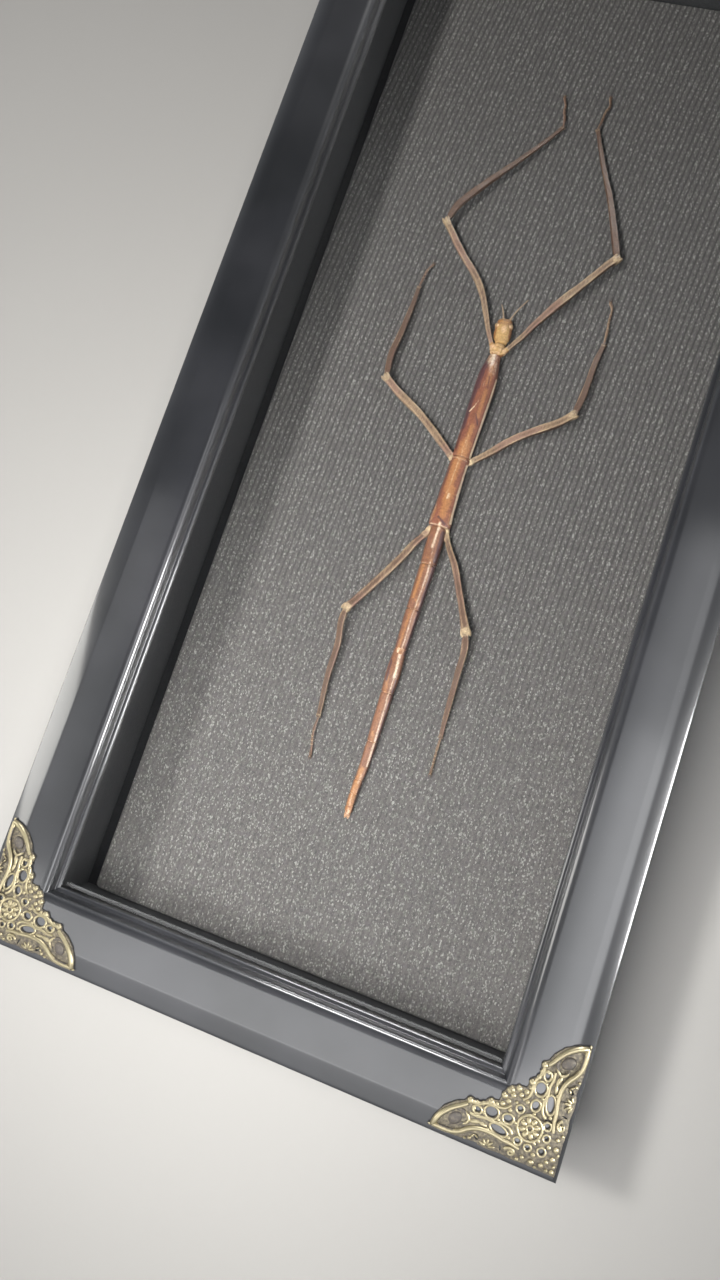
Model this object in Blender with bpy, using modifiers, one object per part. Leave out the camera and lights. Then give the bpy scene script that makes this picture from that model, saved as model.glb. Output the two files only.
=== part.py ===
"""A mounted giant stick insect in a glazed box frame, modelled at life size.

The frame lies on its back: +X is to the right, +Y is towards the insect's head and +Z is up,
out of the glass.  The origin is the middle of the frame's back.  Sizes are in millimetres
until mm() turns them into metres.
"""
import math
import bmesh
import bpy
from mathutils import Matrix, Vector

# ---------------------------------------------------------------- frame
WINDOW_WIDTH = 190.0        # clear opening between the lips
WINDOW_LENGTH = 478.0
RAIL_FACE = 26.5            # width of the front face of each rail
CASE_DEPTH = 55.0           # back of the frame to its front face
FACE_ROUND = 2.7            # rounding of the outer front edge
LIP_ROUND = 1.5             # rounding of the inner front edge
LIP_STEP = 0.8              # small step at the foot of the lip
LIP_STEP_HEIGHT = 2.6
BACK_CHAMFER = 0.8
RABBET = 9.0                # the glass and the backing sit this far under the lip
GAP = 0.3                   # clearance between touching pieces

GLASS_TOP = 46.0
GLASS_THICKNESS = 2.0
BACK_BOARD_BOTTOM = 1.7
BACK_BOARD_THICKNESS = 3.0
FABRIC_TOP = 10.0           # top of the fabric-covered panel
PANEL_THICKNESS = 5.0
PANEL_SHIFT_GAP = 5.4       # dark slot left beside the panel at -X
PANEL_CORNER = 3.0
SPACER_THICKNESS = 3.0      # strips that hold the glass up against the lip

HANGER_LENGTH = 46.0
HANGER_WIDTH = 11.0
HANGER_THICKNESS = 0.8

# ---------------------------------------------------------------- corner ornament
ORNAMENT_LEG = 46.2         # along each outer edge
ORNAMENT_PLATE = 0.9        # thickness of the pierced plate
ORNAMENT_RELIEF = 1.9       # height of rims and beads above the frame's face
ORNAMENT_PLACES = {         # side in x and y, inset of the ornament's corner from the frame's corner
    "bottom_right": (1, -1, 1.3, 2.1), "bottom_left": (-1, -1, 1.7, 2.2),
    "top_right": (1, 1, 1.6, 1.8), "top_left": (-1, 1, 1.5, 1.9)}

# ---------------------------------------------------------------- insect
BODY_SIDES = 14
REST_GAP = 0.3              # clearance of the underside above the fabric
SEGMENT_GAP = 0.32          # clearance between body segments
# middle line of the trunk seen from above: y, x
BODY_LINE = ((46.5, 2.8), (42.0, 2.5), (36.0, 2.9), (28.0, 3.15), (8.0, 3.1), (-10.0, 2.95),
             (-22.0, 3.1), (-36.0, 3.3), (-46.0, 3.65), (-57.0, 4.05), (-76.0, 4.1), (-97.0, 4.2),
             (-112.0, 4.6), (-137.0, 5.2), (-152.0, 5.3), (-162.0, 4.6), (-169.0, 4.7), (-176.0, 4.9))

HEAD_NECK = (3.4, 52.6)     # back of the head, x and y
HEAD_LENGTH = 12.4
HEAD_TURN = 6.5             # degrees, towards -X
PRONOTUM_BACK = (2.95, 46.85)
PRONOTUM_LENGTH = 5.4
PRONOTUM_TURN = -3.0

# stations along a segment: distance from its front, width, height
HEAD_STATIONS = ((0.0, 5.0, 2.6), (0.6, 6.0, 3.6), (2.0, 6.8, 4.6), (4.4, 7.3, 5.2),
                 (7.6, 7.6, 5.4), (9.6, 6.9, 5.0), (11.4, 5.4, 4.2), (12.4, 4.6, 3.6))
PRONOTUM_STATIONS = ((0.0, 4.6, 3.6), (1.0, 5.1, 4.2), (3.0, 5.3, 4.6), (4.7, 5.1, 4.5), (5.4, 4.6, 4.0))
MESOTHORAX_STATIONS = ((0.0, 4.2, 3.8), (2.6, 4.8, 4.3), (4.2, 5.6, 4.8), (6.6, 7.2, 5.8),
                       (10.5, 8.6, 6.5), (17.0, 9.1, 6.9), (27.0, 8.8, 6.9), (37.0, 8.6, 6.7),
                       (46.5, 8.3, 6.4), (52.1, 8.3, 6.2))
METATHORAX_STATIONS = ((0.0, 8.2, 6.2), (5.0, 8.1, 6.1), (10.0, 8.1, 6.2), (17.0, 8.6, 6.5),
                       (25.0, 9.1, 6.8), (30.0, 9.9, 6.9), (32.8, 10.0, 6.8), (33.6, 9.2, 6.4))
# abdomen: name, length, front width, middle width, back width, height
ABDOMEN = (("abdomen_2", 17.6, 7.5, 7.5, 7.4, 6.2),
           ("abdomen_3", 21.1, 7.1, 6.6, 6.5, 5.9),
           ("abdomen_4", 18.3, 6.3, 5.9, 5.6, 5.3),
           ("abdomen_5", 20.2, 5.5, 6.5, 5.8, 5.2),
           ("abdomen_6", 22.3, 5.5, 5.2, 4.9, 4.5),
           ("abdomen_7", 17.4, 4.8, 4.4, 4.0, 3.9),
           ("abdomen_8", 6.2, 3.9, 3.7, 3.8, 3.5),
           ("abdomen_9", 5.2, 3.7, 3.7, 3.6, 3.3),
           ("abdomen_10", 4.6, 3.6, 3.3, 2.5, 2.8))

EYE_RADII = (0.95, 1.35, 1.15)
EYE_SIDE = 3.4              # from the head's middle line
EYE_BACK = 4.2              # from the front of the head
ANTENNA_RADIUS = 0.45
# place from the head's middle line, first and last bearing, length
ANTENNAE = {"left": (-1.0, -14.0, -27.0, 8.4), "right": (2.0, 14.0, 27.0, 13.8)}

# legs: hip, then bearing from +Y towards +X in degrees, length and bends for femur, tibia, tarsus.
# A bend is a pair: fraction of the length and sideways offset to the right of the bearing.
LEGS = {
    "front_left": {
        "coxa": (2.2, 47.6), "hip": (-0.5, 51.2),
        "femur": (-36.1, 66.9, ((0.11, 0.8), (0.20, 2.0), (0.29, 3.1), (0.37, 3.9), (0.52, 3.8), (0.72, 1.6))),
        "tibia": (32.3, 72.8, ((0.13, -2.6), (0.34, -2.4), (0.60, -1.0), (0.84, 0.0))),
        "tarsus": (-14.7, 16.7, ((0.30, 0.4), (0.55, 0.1), (0.72, 0.6))),
        "femur_width": (2.0, 2.9, 3.3, 3.2, 3.2), "tibia_width": (3.1, 3.6, 2.8, 2.2, 1.7)},
    "front_right": {
        "coxa": (4.4, 47.2), "hip": (7.0, 50.1),
        "femur": (33.2, 64.9, ((0.15, -0.1), (0.24, -0.8), (0.45, -1.2), (0.70, -0.9), (0.92, -0.6))),
        "tibia": (-23.2, 70.0, ((0.11, 0.2), (0.43, 0.8), (0.70, 0.1))),
        "tarsus": (3.4, 18.2, ((0.20, 0.3), (0.56, 0.4), (0.76, 1.3))),
        "femur_width": (2.2, 3.0, 4.0, 3.3, 3.6), "tibia_width": (3.3, 3.2, 2.7, 2.3, 1.8)},
    "middle_left": {
        "coxa": (0.6, -7.8), "hip": (-2.2, -5.4),
        "femur": (-55.7, 49.1, ((0.10, 0.3), (0.48, 1.1), (0.80, -0.1))),
        "tibia": (0.0, 49.2, ((0.23, -1.3), (0.47, -0.5), (0.80, 0.2))),
        "tarsus": (12.8, 13.1, ((0.45, -0.7), (0.77, -0.9))),
        "femur_width": (3.0, 3.7, 3.7, 3.8, 3.5), "tibia_width": (3.2, 3.2, 3.0, 2.5, 1.8)},
    "middle_right": {
        "coxa": (5.6, -8.4), "hip": (9.0, -5.0),
        "femur": (48.9, 48.3, ((0.18, -0.3), (0.36, -1.2), (0.52, -1.1), (0.86, 0.5))),
        "tibia": (5.0, 37.6, ((0.20, 0.4), (0.45, 0.2), (0.75, -0.4))),
        "tarsus": (-8.2, 21.1, ((0.30, 0.5), (0.55, 0.6), (0.78, 1.2), (0.90, 1.0))),
        "femur_width": (2.9, 3.6, 3.6, 3.7, 3.5), "tibia_width": (3.2, 3.3, 3.0, 2.8, 2.0)},
    "hind_left": {
        "coxa": (1.6, -38.0), "hip": (-2.0, -44.6),
        "femur": (-152.0, 48.7, ((0.12, 0.2), (0.30, -0.5), (0.65, -0.6), (0.88, -0.4))),
        "tibia": (176.2, 50.8, ((0.13, 0.6), (0.34, -0.3), (0.64, 0.5))),
        "tarsus": (173.5, 17.5, ((0.24, 0.7), (0.52, 0.8), (0.75, 0.3))),
        "femur_width": (3.0, 3.6, 3.7, 3.7, 3.8), "tibia_width": (3.3, 3.1, 3.0, 2.6, 1.9)},
    "hind_right": {
        "coxa": (5.4, -37.0), "hip": (8.1, -43.2),
        "femur": (151.2, 44.9, ((0.14, -0.2), (0.30, -1.0), (0.60, -0.7))),
        "tibia": (175.8, 47.3, ((0.17, -1.2), (0.40, -0.7), (0.72, -0.2))),
        "tarsus": (177.9, 16.0, ((0.36, 0.1), (0.76, 0.0))),
        "femur_width": (2.7, 3.1, 3.3, 3.4, 4.2), "tibia_width": (3.5, 3.2, 3.0, 2.6, 1.9)},
}
HIP_HEIGHT = 2.9            # heights of the leg's middle line above the fabric
KNEE_HEIGHT = {"front": 5.0, "middle": 5.0, "hind": 5.5}
ANKLE_HEIGHT = 2.0
CLAW_HEIGHT = 1.05
COXA_WIDTH = 3.2
LIMB_FLATNESS = 0.72        # height of a limb over its width

# outline of a limb's cross-section: two ridges above, a shallow groove between them
LIMB_SECTION = ((1.0, 0.0), (0.78, 1.0), (0.0, 0.82), (-0.78, 1.0),
                (-1.0, 0.0), (-0.78, -1.0), (0.0, -0.82), (0.78, -1.0))

COLOURS = {                 # colour, roughness, metallic
    "satin_black": ((0.035, 0.036, 0.040), 0.38, 0.0),
    "liner": ((0.020, 0.020, 0.022), 0.60, 0.0),
    "glass": ((0.85, 0.90, 0.90), 0.05, 0.0),
    "fabric": ((0.130, 0.130, 0.135), 0.95, 0.0),
    "hardboard": ((0.190, 0.115, 0.060), 0.80, 0.0),
    "antique_brass": ((0.600, 0.500, 0.240), 0.35, 1.0),
    "steel": ((0.550, 0.550, 0.550), 0.30, 1.0),
    "head_ochre": ((0.620, 0.380, 0.170), 0.50, 0.0),
    "body_brown": ((0.300, 0.100, 0.050), 0.35, 0.0),
    "leg_tan": ((0.360, 0.210, 0.120), 0.55, 0.0),
    "eye": ((0.500, 0.380, 0.220), 0.25, 0.0),
}


def mm(value):
    return value * 0.001


# ---------------------------------------------------------------- shared helpers
def clear_scene():
    for item in list(bpy.data.objects):
        bpy.data.objects.remove(item, do_unlink=True)


def make_collection(name):
    made = bpy.data.collections.new(name)
    bpy.context.scene.collection.children.link(made)
    return made


def make_materials():
    made = {}
    for name, (colour, roughness, metallic) in COLOURS.items():
        material = bpy.data.materials.new(name)
        material.use_nodes = True
        shader = material.node_tree.nodes["Principled BSDF"]
        shader.inputs["Base Color"].default_value = (*colour, 1.0)
        shader.inputs["Roughness"].default_value = roughness
        shader.inputs["Metallic"].default_value = metallic
        made[name] = material
    return made


def add_mesh(name, mesh, material, collection, smooth=True):
    made = bpy.data.objects.new(name, mesh)
    mesh.materials.clear()
    mesh.materials.append(material)
    collection.objects.link(made)
    if smooth:
        mesh.shade_smooth()
        mesh.set_sharp_from_angle(angle=math.radians(40))
    return made


def curve_to_mesh(curve_data):
    """Turn curve data into a welded, closed mesh with its faces pointing out."""
    holder = bpy.data.objects.new("curve_holder", curve_data)
    bpy.context.scene.collection.objects.link(holder)
    graph = bpy.context.evaluated_depsgraph_get()
    mesh = bpy.data.meshes.new_from_object(holder.evaluated_get(graph))
    bpy.data.objects.remove(holder, do_unlink=True)
    shape = bmesh.new()
    shape.from_mesh(mesh)
    bmesh.ops.remove_doubles(shape, verts=shape.verts, dist=0.00001)
    bmesh.ops.recalc_face_normals(shape, faces=shape.faces)
    shape.to_mesh(mesh)
    shape.free()
    return mesh


def flat_outline(loops, thickness):
    """A plate with holes from closed outlines in millimetres, centred on z = 0."""
    data = bpy.data.curves.new("outline", "CURVE")
    data.dimensions = "2D"
    data.fill_mode = "BOTH"
    data.extrude = mm(thickness) / 2
    for loop in loops:
        spline = data.splines.new("POLY")
        spline.points.add(len(loop) - 1)
        for point, (x, y) in zip(spline.points, loop):
            point.co = (mm(x), mm(y), 0.0, 1.0)
        spline.use_cyclic_u = True
    return curve_to_mesh(data)


def box(name, low, high, material, collection, bevel=0.3):
    """A box between two corners in millimetres, with softened edges."""
    bpy.ops.mesh.primitive_cube_add(size=1.0)
    made = bpy.context.active_object
    made.name = name
    for holder in list(made.users_collection):
        holder.objects.unlink(made)
    collection.objects.link(made)
    size = [mm(b - a) for a, b in zip(low, high)]
    made.data.transform(Matrix.Diagonal((*size, 1.0)))
    made.location = [mm(a + b) / 2 for a, b in zip(low, high)]
    made.data.materials.append(material)
    if bevel:
        soften = made.modifiers.new("soft_edges", "BEVEL")
        soften.width = mm(bevel)
        soften.segments = 1
    return made


def arc(centre, radius, start, end, steps):
    """Points on an arc, angles in degrees, both ends included."""
    points = []
    for step in range(steps + 1):
        angle = math.radians(start + (end - start) * step / steps)
        points.append((centre[0] + radius * math.cos(angle), centre[1] + radius * math.sin(angle)))
    return points


def loft(rings):
    """A closed skin over a row of rings that have the same number of points."""
    shape = bmesh.new()
    rows = [[shape.verts.new(point) for point in ring] for ring in rings]
    count = len(rows[0])
    for front, back in zip(rows, rows[1:]):
        for i in range(count):
            j = (i + 1) % count
            shape.faces.new((front[i], front[j], back[j], back[i]))
    shape.faces.new(rows[0])
    shape.faces.new(rows[-1])
    bmesh.ops.recalc_face_normals(shape, faces=shape.faces)
    bmesh.ops.triangulate(shape, faces=[face for face in shape.faces if len(face.verts) > 4])
    mesh = bpy.data.meshes.new("loft")
    shape.to_mesh(mesh)
    shape.free()
    return mesh


def cut_by_plane(mesh, point, normal):
    """Cut a mesh off beyond a plane and close the cut."""
    shape = bmesh.new()
    shape.from_mesh(mesh)
    everything = list(shape.verts) + list(shape.edges) + list(shape.faces)
    bmesh.ops.bisect_plane(shape, geom=everything, plane_co=point, plane_no=normal, clear_outer=True)
    rim = [edge for edge in shape.edges if edge.is_boundary]
    if rim:
        bmesh.ops.holes_fill(shape, edges=rim)
    bmesh.ops.recalc_face_normals(shape, faces=shape.faces)
    shape.to_mesh(mesh)
    shape.free()


def make_cutter(name, mesh, collection):
    made = bpy.data.objects.new(name, mesh)
    collection.objects.link(made)
    made.hide_render = True
    made.display_type = "WIRE"
    return made


def boolean(target, other, operation):
    step = target.modifiers.new(operation.lower() + "_" + other.name, "BOOLEAN")
    step.operation = operation
    step.solver = "EXACT"
    step.object = other


# ---------------------------------------------------------------- frame
def rail_profile():
    """Half-section of a rail: u runs outwards from the edge of the window, z is up."""
    lip_bottom = GLASS_TOP + GAP
    step_top = lip_bottom + LIP_STEP_HEIGHT
    points = arc((LIP_ROUND, CASE_DEPTH - LIP_ROUND), LIP_ROUND, 180, 90, 4)
    points += arc((RAIL_FACE - FACE_ROUND, CASE_DEPTH - FACE_ROUND), FACE_ROUND, 90, 0, 4)
    points += [(RAIL_FACE, BACK_CHAMFER), (RAIL_FACE - BACK_CHAMFER, 0.0), (RABBET, 0.0),
               (RABBET, lip_bottom), (-LIP_STEP, lip_bottom), (-LIP_STEP, step_top - 0.5),
               (-LIP_STEP + 0.4, step_top), (0.0, step_top + 0.2)]
    return points


def make_rails(materials, collection):
    """Four mitred rails: the same moulding, cut to length at 45 degrees."""
    sides = {"rail_right": (0.0, WINDOW_WIDTH / 2, WINDOW_LENGTH / 2),
             "rail_top": (90.0, WINDOW_LENGTH / 2, WINDOW_WIDTH / 2),
             "rail_left": (180.0, WINDOW_WIDTH / 2, WINDOW_LENGTH / 2),
             "rail_bottom": (270.0, WINDOW_LENGTH / 2, WINDOW_WIDTH / 2)}
    stand_up = Matrix.Rotation(math.radians(90), 4, "X")
    for name, (turn, inner, half_run) in sides.items():
        mesh = flat_outline([rail_profile()], 2 * (half_run + RAIL_FACE + 5.0))
        mesh.transform(stand_up)
        mesh.transform(Matrix.Translation((mm(inner), 0.0, 0.0)))
        for sign in (1, -1):
            mitre_normal = Vector((-1.0, sign, 0.0)).normalized()
            corner = Vector((mm(inner), sign * mm(half_run), 0.0))
            cut_by_plane(mesh, corner - mitre_normal * mm(GAP / 2), mitre_normal)
        mesh.transform(Matrix.Rotation(math.radians(turn), 4, "Z"))
        add_mesh(name, mesh, materials["satin_black"], collection)


def make_filling(materials, collection):
    """Glass, spacer strips, fabric-covered panel and back board, from the front to the back."""
    half_x = WINDOW_WIDTH / 2 + RABBET - GAP
    half_y = WINDOW_LENGTH / 2 + RABBET - GAP
    glass_bottom = GLASS_TOP - GLASS_THICKNESS
    board_top = BACK_BOARD_BOTTOM + BACK_BOARD_THICKNESS
    box("glass_pane", (-half_x, -half_y, glass_bottom), (half_x, half_y, GLASS_TOP),
        materials["glass"], collection)
    box("back_board", (-half_x, -half_y, BACK_BOARD_BOTTOM), (half_x, half_y, board_top),
        materials["hardboard"], collection)
    low, high = board_top + GAP, glass_bottom - GAP
    wall_x, wall_y = half_x - SPACER_THICKNESS, half_y - SPACER_THICKNESS
    box("spacer_left", (-half_x, -half_y, low), (-wall_x, half_y, high), materials["liner"], collection)
    box("spacer_right", (wall_x, -half_y, low), (half_x, half_y, high), materials["liner"], collection)
    for name, sign in (("spacer_top", 1), ("spacer_bottom", -1)):
        ends = sorted((sign * wall_y, sign * half_y))
        box(name, (-wall_x + GAP, ends[0], low), (wall_x - GAP, ends[1], high),
            materials["liner"], collection)
    left, right = -wall_x + PANEL_SHIFT_GAP, wall_x - GAP
    front, back = -wall_y + GAP, wall_y - GAP
    outline = []
    for x, y, start in ((right - PANEL_CORNER, back - PANEL_CORNER, 0),
                        (left + PANEL_CORNER, back - PANEL_CORNER, 90),
                        (left + PANEL_CORNER, front + PANEL_CORNER, 180),
                        (right - PANEL_CORNER, front + PANEL_CORNER, 270)):
        outline += arc((x, y), PANEL_CORNER, start, start + 90, 4)
    mesh = flat_outline([outline], PANEL_THICKNESS)
    mesh.transform(Matrix.Translation((0.0, 0.0, mm(FABRIC_TOP - PANEL_THICKNESS / 2))))
    add_mesh("fabric_panel", mesh, materials["fabric"], collection, smooth=False)


def make_hanger(materials, collection):
    """A sawtooth hanger, flat on the back board near its top edge, under the rail's back."""
    teeth = 9
    tooth = HANGER_LENGTH * 0.6 / teeth
    half = HANGER_LENGTH / 2
    outline = [(half, -HANGER_WIDTH / 2), (half, HANGER_WIDTH / 2), (-half, HANGER_WIDTH / 2),
               (-half, -HANGER_WIDTH / 2)]
    for i in range(teeth):
        x = -HANGER_LENGTH * 0.3 + i * tooth
        outline += [(x, -HANGER_WIDTH / 2), (x + tooth / 2, -HANGER_WIDTH / 2 + 2.2)]
    outline.append((HANGER_LENGTH * 0.3, -HANGER_WIDTH / 2))
    screws = [arc((sign * (half - 4.5), 1.5), 1.4, 0, 360 * 7 / 8, 7) for sign in (1, -1)]
    mesh = flat_outline([outline] + screws, HANGER_THICKNESS)
    top = BACK_BOARD_BOTTOM - GAP
    mesh.transform(Matrix.Translation((0.0, mm(WINDOW_LENGTH / 2 - 12.0), mm(top - HANGER_THICKNESS / 2))))
    add_mesh("sawtooth_hanger", mesh, materials["steel"], collection, smooth=False)


# ---------------------------------------------------------------- corner ornament
def mirror_diagonal(points):
    """The other half of an outline that is symmetric about the corner's diagonal."""
    return [(b, a) for a, b in reversed(points)]


def ellipse(centre, radius_along, radius_away, lean, steps):
    turn = math.radians(lean)
    points = []
    for step in range(steps):
        angle = 2 * math.pi * step / steps
        x, y = radius_along * math.cos(angle), radius_away * math.sin(angle)
        points.append((centre[0] + x * math.cos(turn) - y * math.sin(turn),
                       centre[1] + x * math.sin(turn) + y * math.cos(turn)))
    return points


# The flame-shaped loop at the end of a leg: (along the leg, away from the edge).
FLAME = ((46.0, 0.8), (45.0, 4.4), (42.8, 8.8), (39.0, 11.9), (36.0, 12.9),
         (33.4, 8.8), (31.6, 5.4), (33.6, 2.4), (37.2, 0.8))
FLAME_MIDDLE = (39.0, 6.4)
# openings: along, away, radius along, radius away, lean in degrees
ORNAMENT_OPENINGS = (
    (31.8, 12.0, 1.1, 1.0, 0), (26.9, 13.2, 2.3, 1.9, 0), (20.9, 13.3, 1.6, 1.4, 0),
    (23.0, 8.6, 3.2, 1.2, 12), (17.9, 17.9, 1.2, 1.2, 0), (15.9, 7.4, 1.1, 1.1, 0),
    (7.0, 7.0, 1.3, 1.3, 0))
ORNAMENT_BEADS = ((35.0, 14.1, 1.05), (28.0, 16.4, 1.05), (24.1, 20.3, 1.05))
ROSETTE = (12.9, 12.9)
ROSETTE_RADIUS = 4.4
SCROLL = ((31.0, 4.6), (24.5, 5.3), (18.0, 4.6), (18.0, 3.5), (24.5, 4.0))


def ornament_outline():
    """Outer outline of one corner plate, with the corner at (0, 0) and legs along +a and +b."""
    half = [(0.3, 0.3), (11.5, 0.8), (16.0, 0.3), (20.0, 0.9), (24.5, 0.2), (28.0, 0.6)]
    half += [(28.8, 3.2), (30.6, 3.2), (33.0, 0.7), (37.0, 0.2), (ORNAMENT_LEG, 0.3)]
    half += [(45.5, 4.6), (43.2, 9.2), (39.3, 12.4), (36.8, 13.3)]
    half += arc((35.0, 14.1), 1.5, -10, 140, 3)
    half += [(32.4, 14.1), (30.2, 15.1)]
    half += arc((28.0, 16.4), 1.5, 10, 110, 2)
    half += [(25.4, 17.3)]
    half += arc((24.1, 20.3), 1.5, -30, 60, 2)
    half += [(23.9, 22.6)]
    return half + mirror_diagonal(half)[:-1]


def ornament_plate():
    loops = [ornament_outline()]
    for along, away, radius_along, radius_away, lean in ORNAMENT_OPENINGS:
        opening = ellipse((along, away), radius_along, radius_away, lean, 6)
        loops.append(opening)
        if along != away:
            loops.append(mirror_diagonal(opening))
    mesh = flat_outline(loops, ORNAMENT_PLATE)
    mesh.transform(Matrix.Translation((0.0, 0.0, mm(ORNAMENT_PLATE / 2))))
    return mesh


def ornament_relief():
    """Raised rims of the flames and the rosette, the scrolls and the beads."""
    inner = [(FLAME_MIDDLE[0] + (a - FLAME_MIDDLE[0]) * 0.78, FLAME_MIDDLE[1] + (b - FLAME_MIDDLE[1]) * 0.78)
             for a, b in FLAME]
    loops = []
    for rim in (list(FLAME), inner, list(SCROLL)):
        loops += [rim, mirror_diagonal(rim)]
    for radius, steps in ((ROSETTE_RADIUS, 8), (ROSETTE_RADIUS - 1.1, 8), (1.5, 5)):
        loops.append(ellipse(ROSETTE, radius, radius, 0, steps))
    for along, away, radius in ORNAMENT_BEADS:
        bead = ellipse((along, away), radius, radius, 15, 5)
        loops += [bead, mirror_diagonal(bead)]
    loops.append(ellipse((21.3, 21.3), 1.7, 1.7, 45, 5))
    low = ORNAMENT_PLATE * 0.5
    mesh = flat_outline(loops, ORNAMENT_RELIEF - GAP - low)
    mesh.transform(Matrix.Translation((0.0, 0.0, mm((ORNAMENT_RELIEF - GAP + low) / 2))))
    return mesh


def make_ornaments(materials, collection, cutters):
    plate = ornament_plate()
    relief = ornament_relief()
    for name, (sign_x, sign_y, inset_x, inset_y) in ORNAMENT_PLACES.items():
        corner_x = sign_x * (WINDOW_WIDTH / 2 + RAIL_FACE - inset_x)
        corner_y = sign_y * (WINDOW_LENGTH / 2 + RAIL_FACE - inset_y)
        place = Matrix(((-sign_x, 0, 0, mm(corner_x)), (0, -sign_y, 0, mm(corner_y)),
                        (0, 0, 1, mm(CASE_DEPTH + GAP)), (0, 0, 0, 1)))
        pair = []
        for source in (plate, relief):
            mesh = source.copy()
            mesh.transform(place)
            if sign_x * sign_y < 0:
                mesh.flip_normals()
            pair.append(mesh)
        made = add_mesh("ornament_" + name, pair[0], materials["antique_brass"], collection, smooth=False)
        boolean(made, make_cutter("relief_" + name, pair[1], cutters), "UNION")


# ---------------------------------------------------------------- body of the insect
def body_x(y):
    """Middle line of the trunk, seen from above, read along BODY_LINE."""
    for (front, first), (back, second) in zip(BODY_LINE, BODY_LINE[1:]):
        if y >= back:
            return first + (second - first) * (front - y) / (front - back)
    return BODY_LINE[-1][1]


def body_ring(centre, across, width, height):
    """A rounded section standing on the fabric, a little flatter below than above."""
    ring = []
    middle = FABRIC_TOP + REST_GAP + height * 0.46
    for i in range(BODY_SIDES):
        angle = 2 * math.pi * i / BODY_SIDES
        side = math.copysign(abs(math.cos(angle)) ** 0.9, math.cos(angle)) * width / 2
        rise = math.sin(angle) * height * (0.54 if math.sin(angle) > 0 else 0.46)
        ring.append(Vector((mm(centre[0] + across[0] * side), mm(centre[1] + across[1] * side),
                            mm(middle + rise))))
    return ring


def straight_segment(stations, back, length, turn):
    """Rings of a segment that points along +Y, turned by some degrees towards -X."""
    angle = math.radians(turn)
    forward = Vector((-math.sin(angle), math.cos(angle)))
    across = (forward.y, -forward.x)
    rings = []
    for distance, width, height in stations:
        centre = Vector(back) + forward * (length - distance)
        rings.append(body_ring(centre, across, width, height))
    return rings


def trunk_rings(front_y, stations, grow=0.0):
    """Rings of a segment that lies along the middle line of the trunk."""
    rings = []
    for distance, width, height in stations:
        y = front_y - distance
        rings.append(body_ring((body_x(y), y), (1.0, 0.0), width + 2 * grow, height + 2 * grow))
    return rings


def abdomen_stations(length, front, middle, back, height):
    """Five stations: a narrow front, the waist or swelling, and a flared back rim."""
    flat = height / max(front, middle, back)
    return ((0.0, front * 0.93, front * 0.93 * flat), (1.2, front, front * flat),
            (length * 0.5, middle, middle * flat), (length - 1.4, back, back * flat),
            (length, back * 0.97, back * 0.97 * flat))


def make_trunk(materials, collection):
    """Mesothorax, metathorax and the abdomen, laid one behind the other."""
    y = BODY_LINE[0][0]
    for name, stations in (("mesothorax", MESOTHORAX_STATIONS), ("metathorax", METATHORAX_STATIONS)):
        add_mesh(name, loft(trunk_rings(y, stations)), materials["body_brown"], collection)
        y -= stations[-1][0] + SEGMENT_GAP
    for name, length, front, middle, back, height in ABDOMEN:
        stations = abdomen_stations(length, front, middle, back, height)
        add_mesh(name, loft(trunk_rings(y, stations)), materials["body_brown"], collection)
        y -= length + SEGMENT_GAP
    return y


def make_clearance(cutters):
    """A skin a little outside the trunk, used to trim the roots of the legs."""
    y = BODY_LINE[0][0]
    rings = trunk_rings(y, MESOTHORAX_STATIONS, GAP)
    y -= MESOTHORAX_STATIONS[-1][0] + SEGMENT_GAP
    rings += trunk_rings(y, METATHORAX_STATIONS, GAP)
    y -= METATHORAX_STATIONS[-1][0] + SEGMENT_GAP
    name, length, front, middle, back, height = ABDOMEN[0]
    rings += trunk_rings(y, abdomen_stations(length, front, middle, back, height), GAP)
    cutters_made = [make_cutter("trunk_clearance", loft(rings), cutters)]
    for name, stations, back, length, turn in (
            ("pronotum_clearance", PRONOTUM_STATIONS, PRONOTUM_BACK, PRONOTUM_LENGTH, PRONOTUM_TURN),
            ("head_clearance", HEAD_STATIONS, HEAD_NECK, HEAD_LENGTH, HEAD_TURN)):
        wider = [(distance, width + 2 * GAP, height + 2 * GAP) for distance, width, height in stations]
        cutters_made.append(make_cutter(name, loft(straight_segment(wider, back, length, turn)), cutters))
    return cutters_made


def ellipsoid(centre, radii, turn, rings=6, segments=10):
    shape = bmesh.new()
    bmesh.ops.create_uvsphere(shape, u_segments=segments, v_segments=rings, radius=1.0)
    mesh = bpy.data.meshes.new("ellipsoid")
    shape.to_mesh(mesh)
    shape.free()
    mesh.transform(Matrix.Diagonal((mm(radii[0]), mm(radii[1]), mm(radii[2]), 1.0)))
    mesh.transform(Matrix.Rotation(math.radians(turn), 4, "Z"))
    mesh.transform(Matrix.Translation([mm(value) for value in centre]))
    return mesh


def head_point(side, back, height):
    """A place on the head: sideways to the right, back from its front, above the fabric."""
    angle = math.radians(HEAD_TURN)
    forward = Vector((-math.sin(angle), math.cos(angle)))
    right = Vector((forward.y, -forward.x))
    place = Vector(HEAD_NECK) + forward * (HEAD_LENGTH - back) + right * side
    return place.x, place.y, FABRIC_TOP + height


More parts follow.
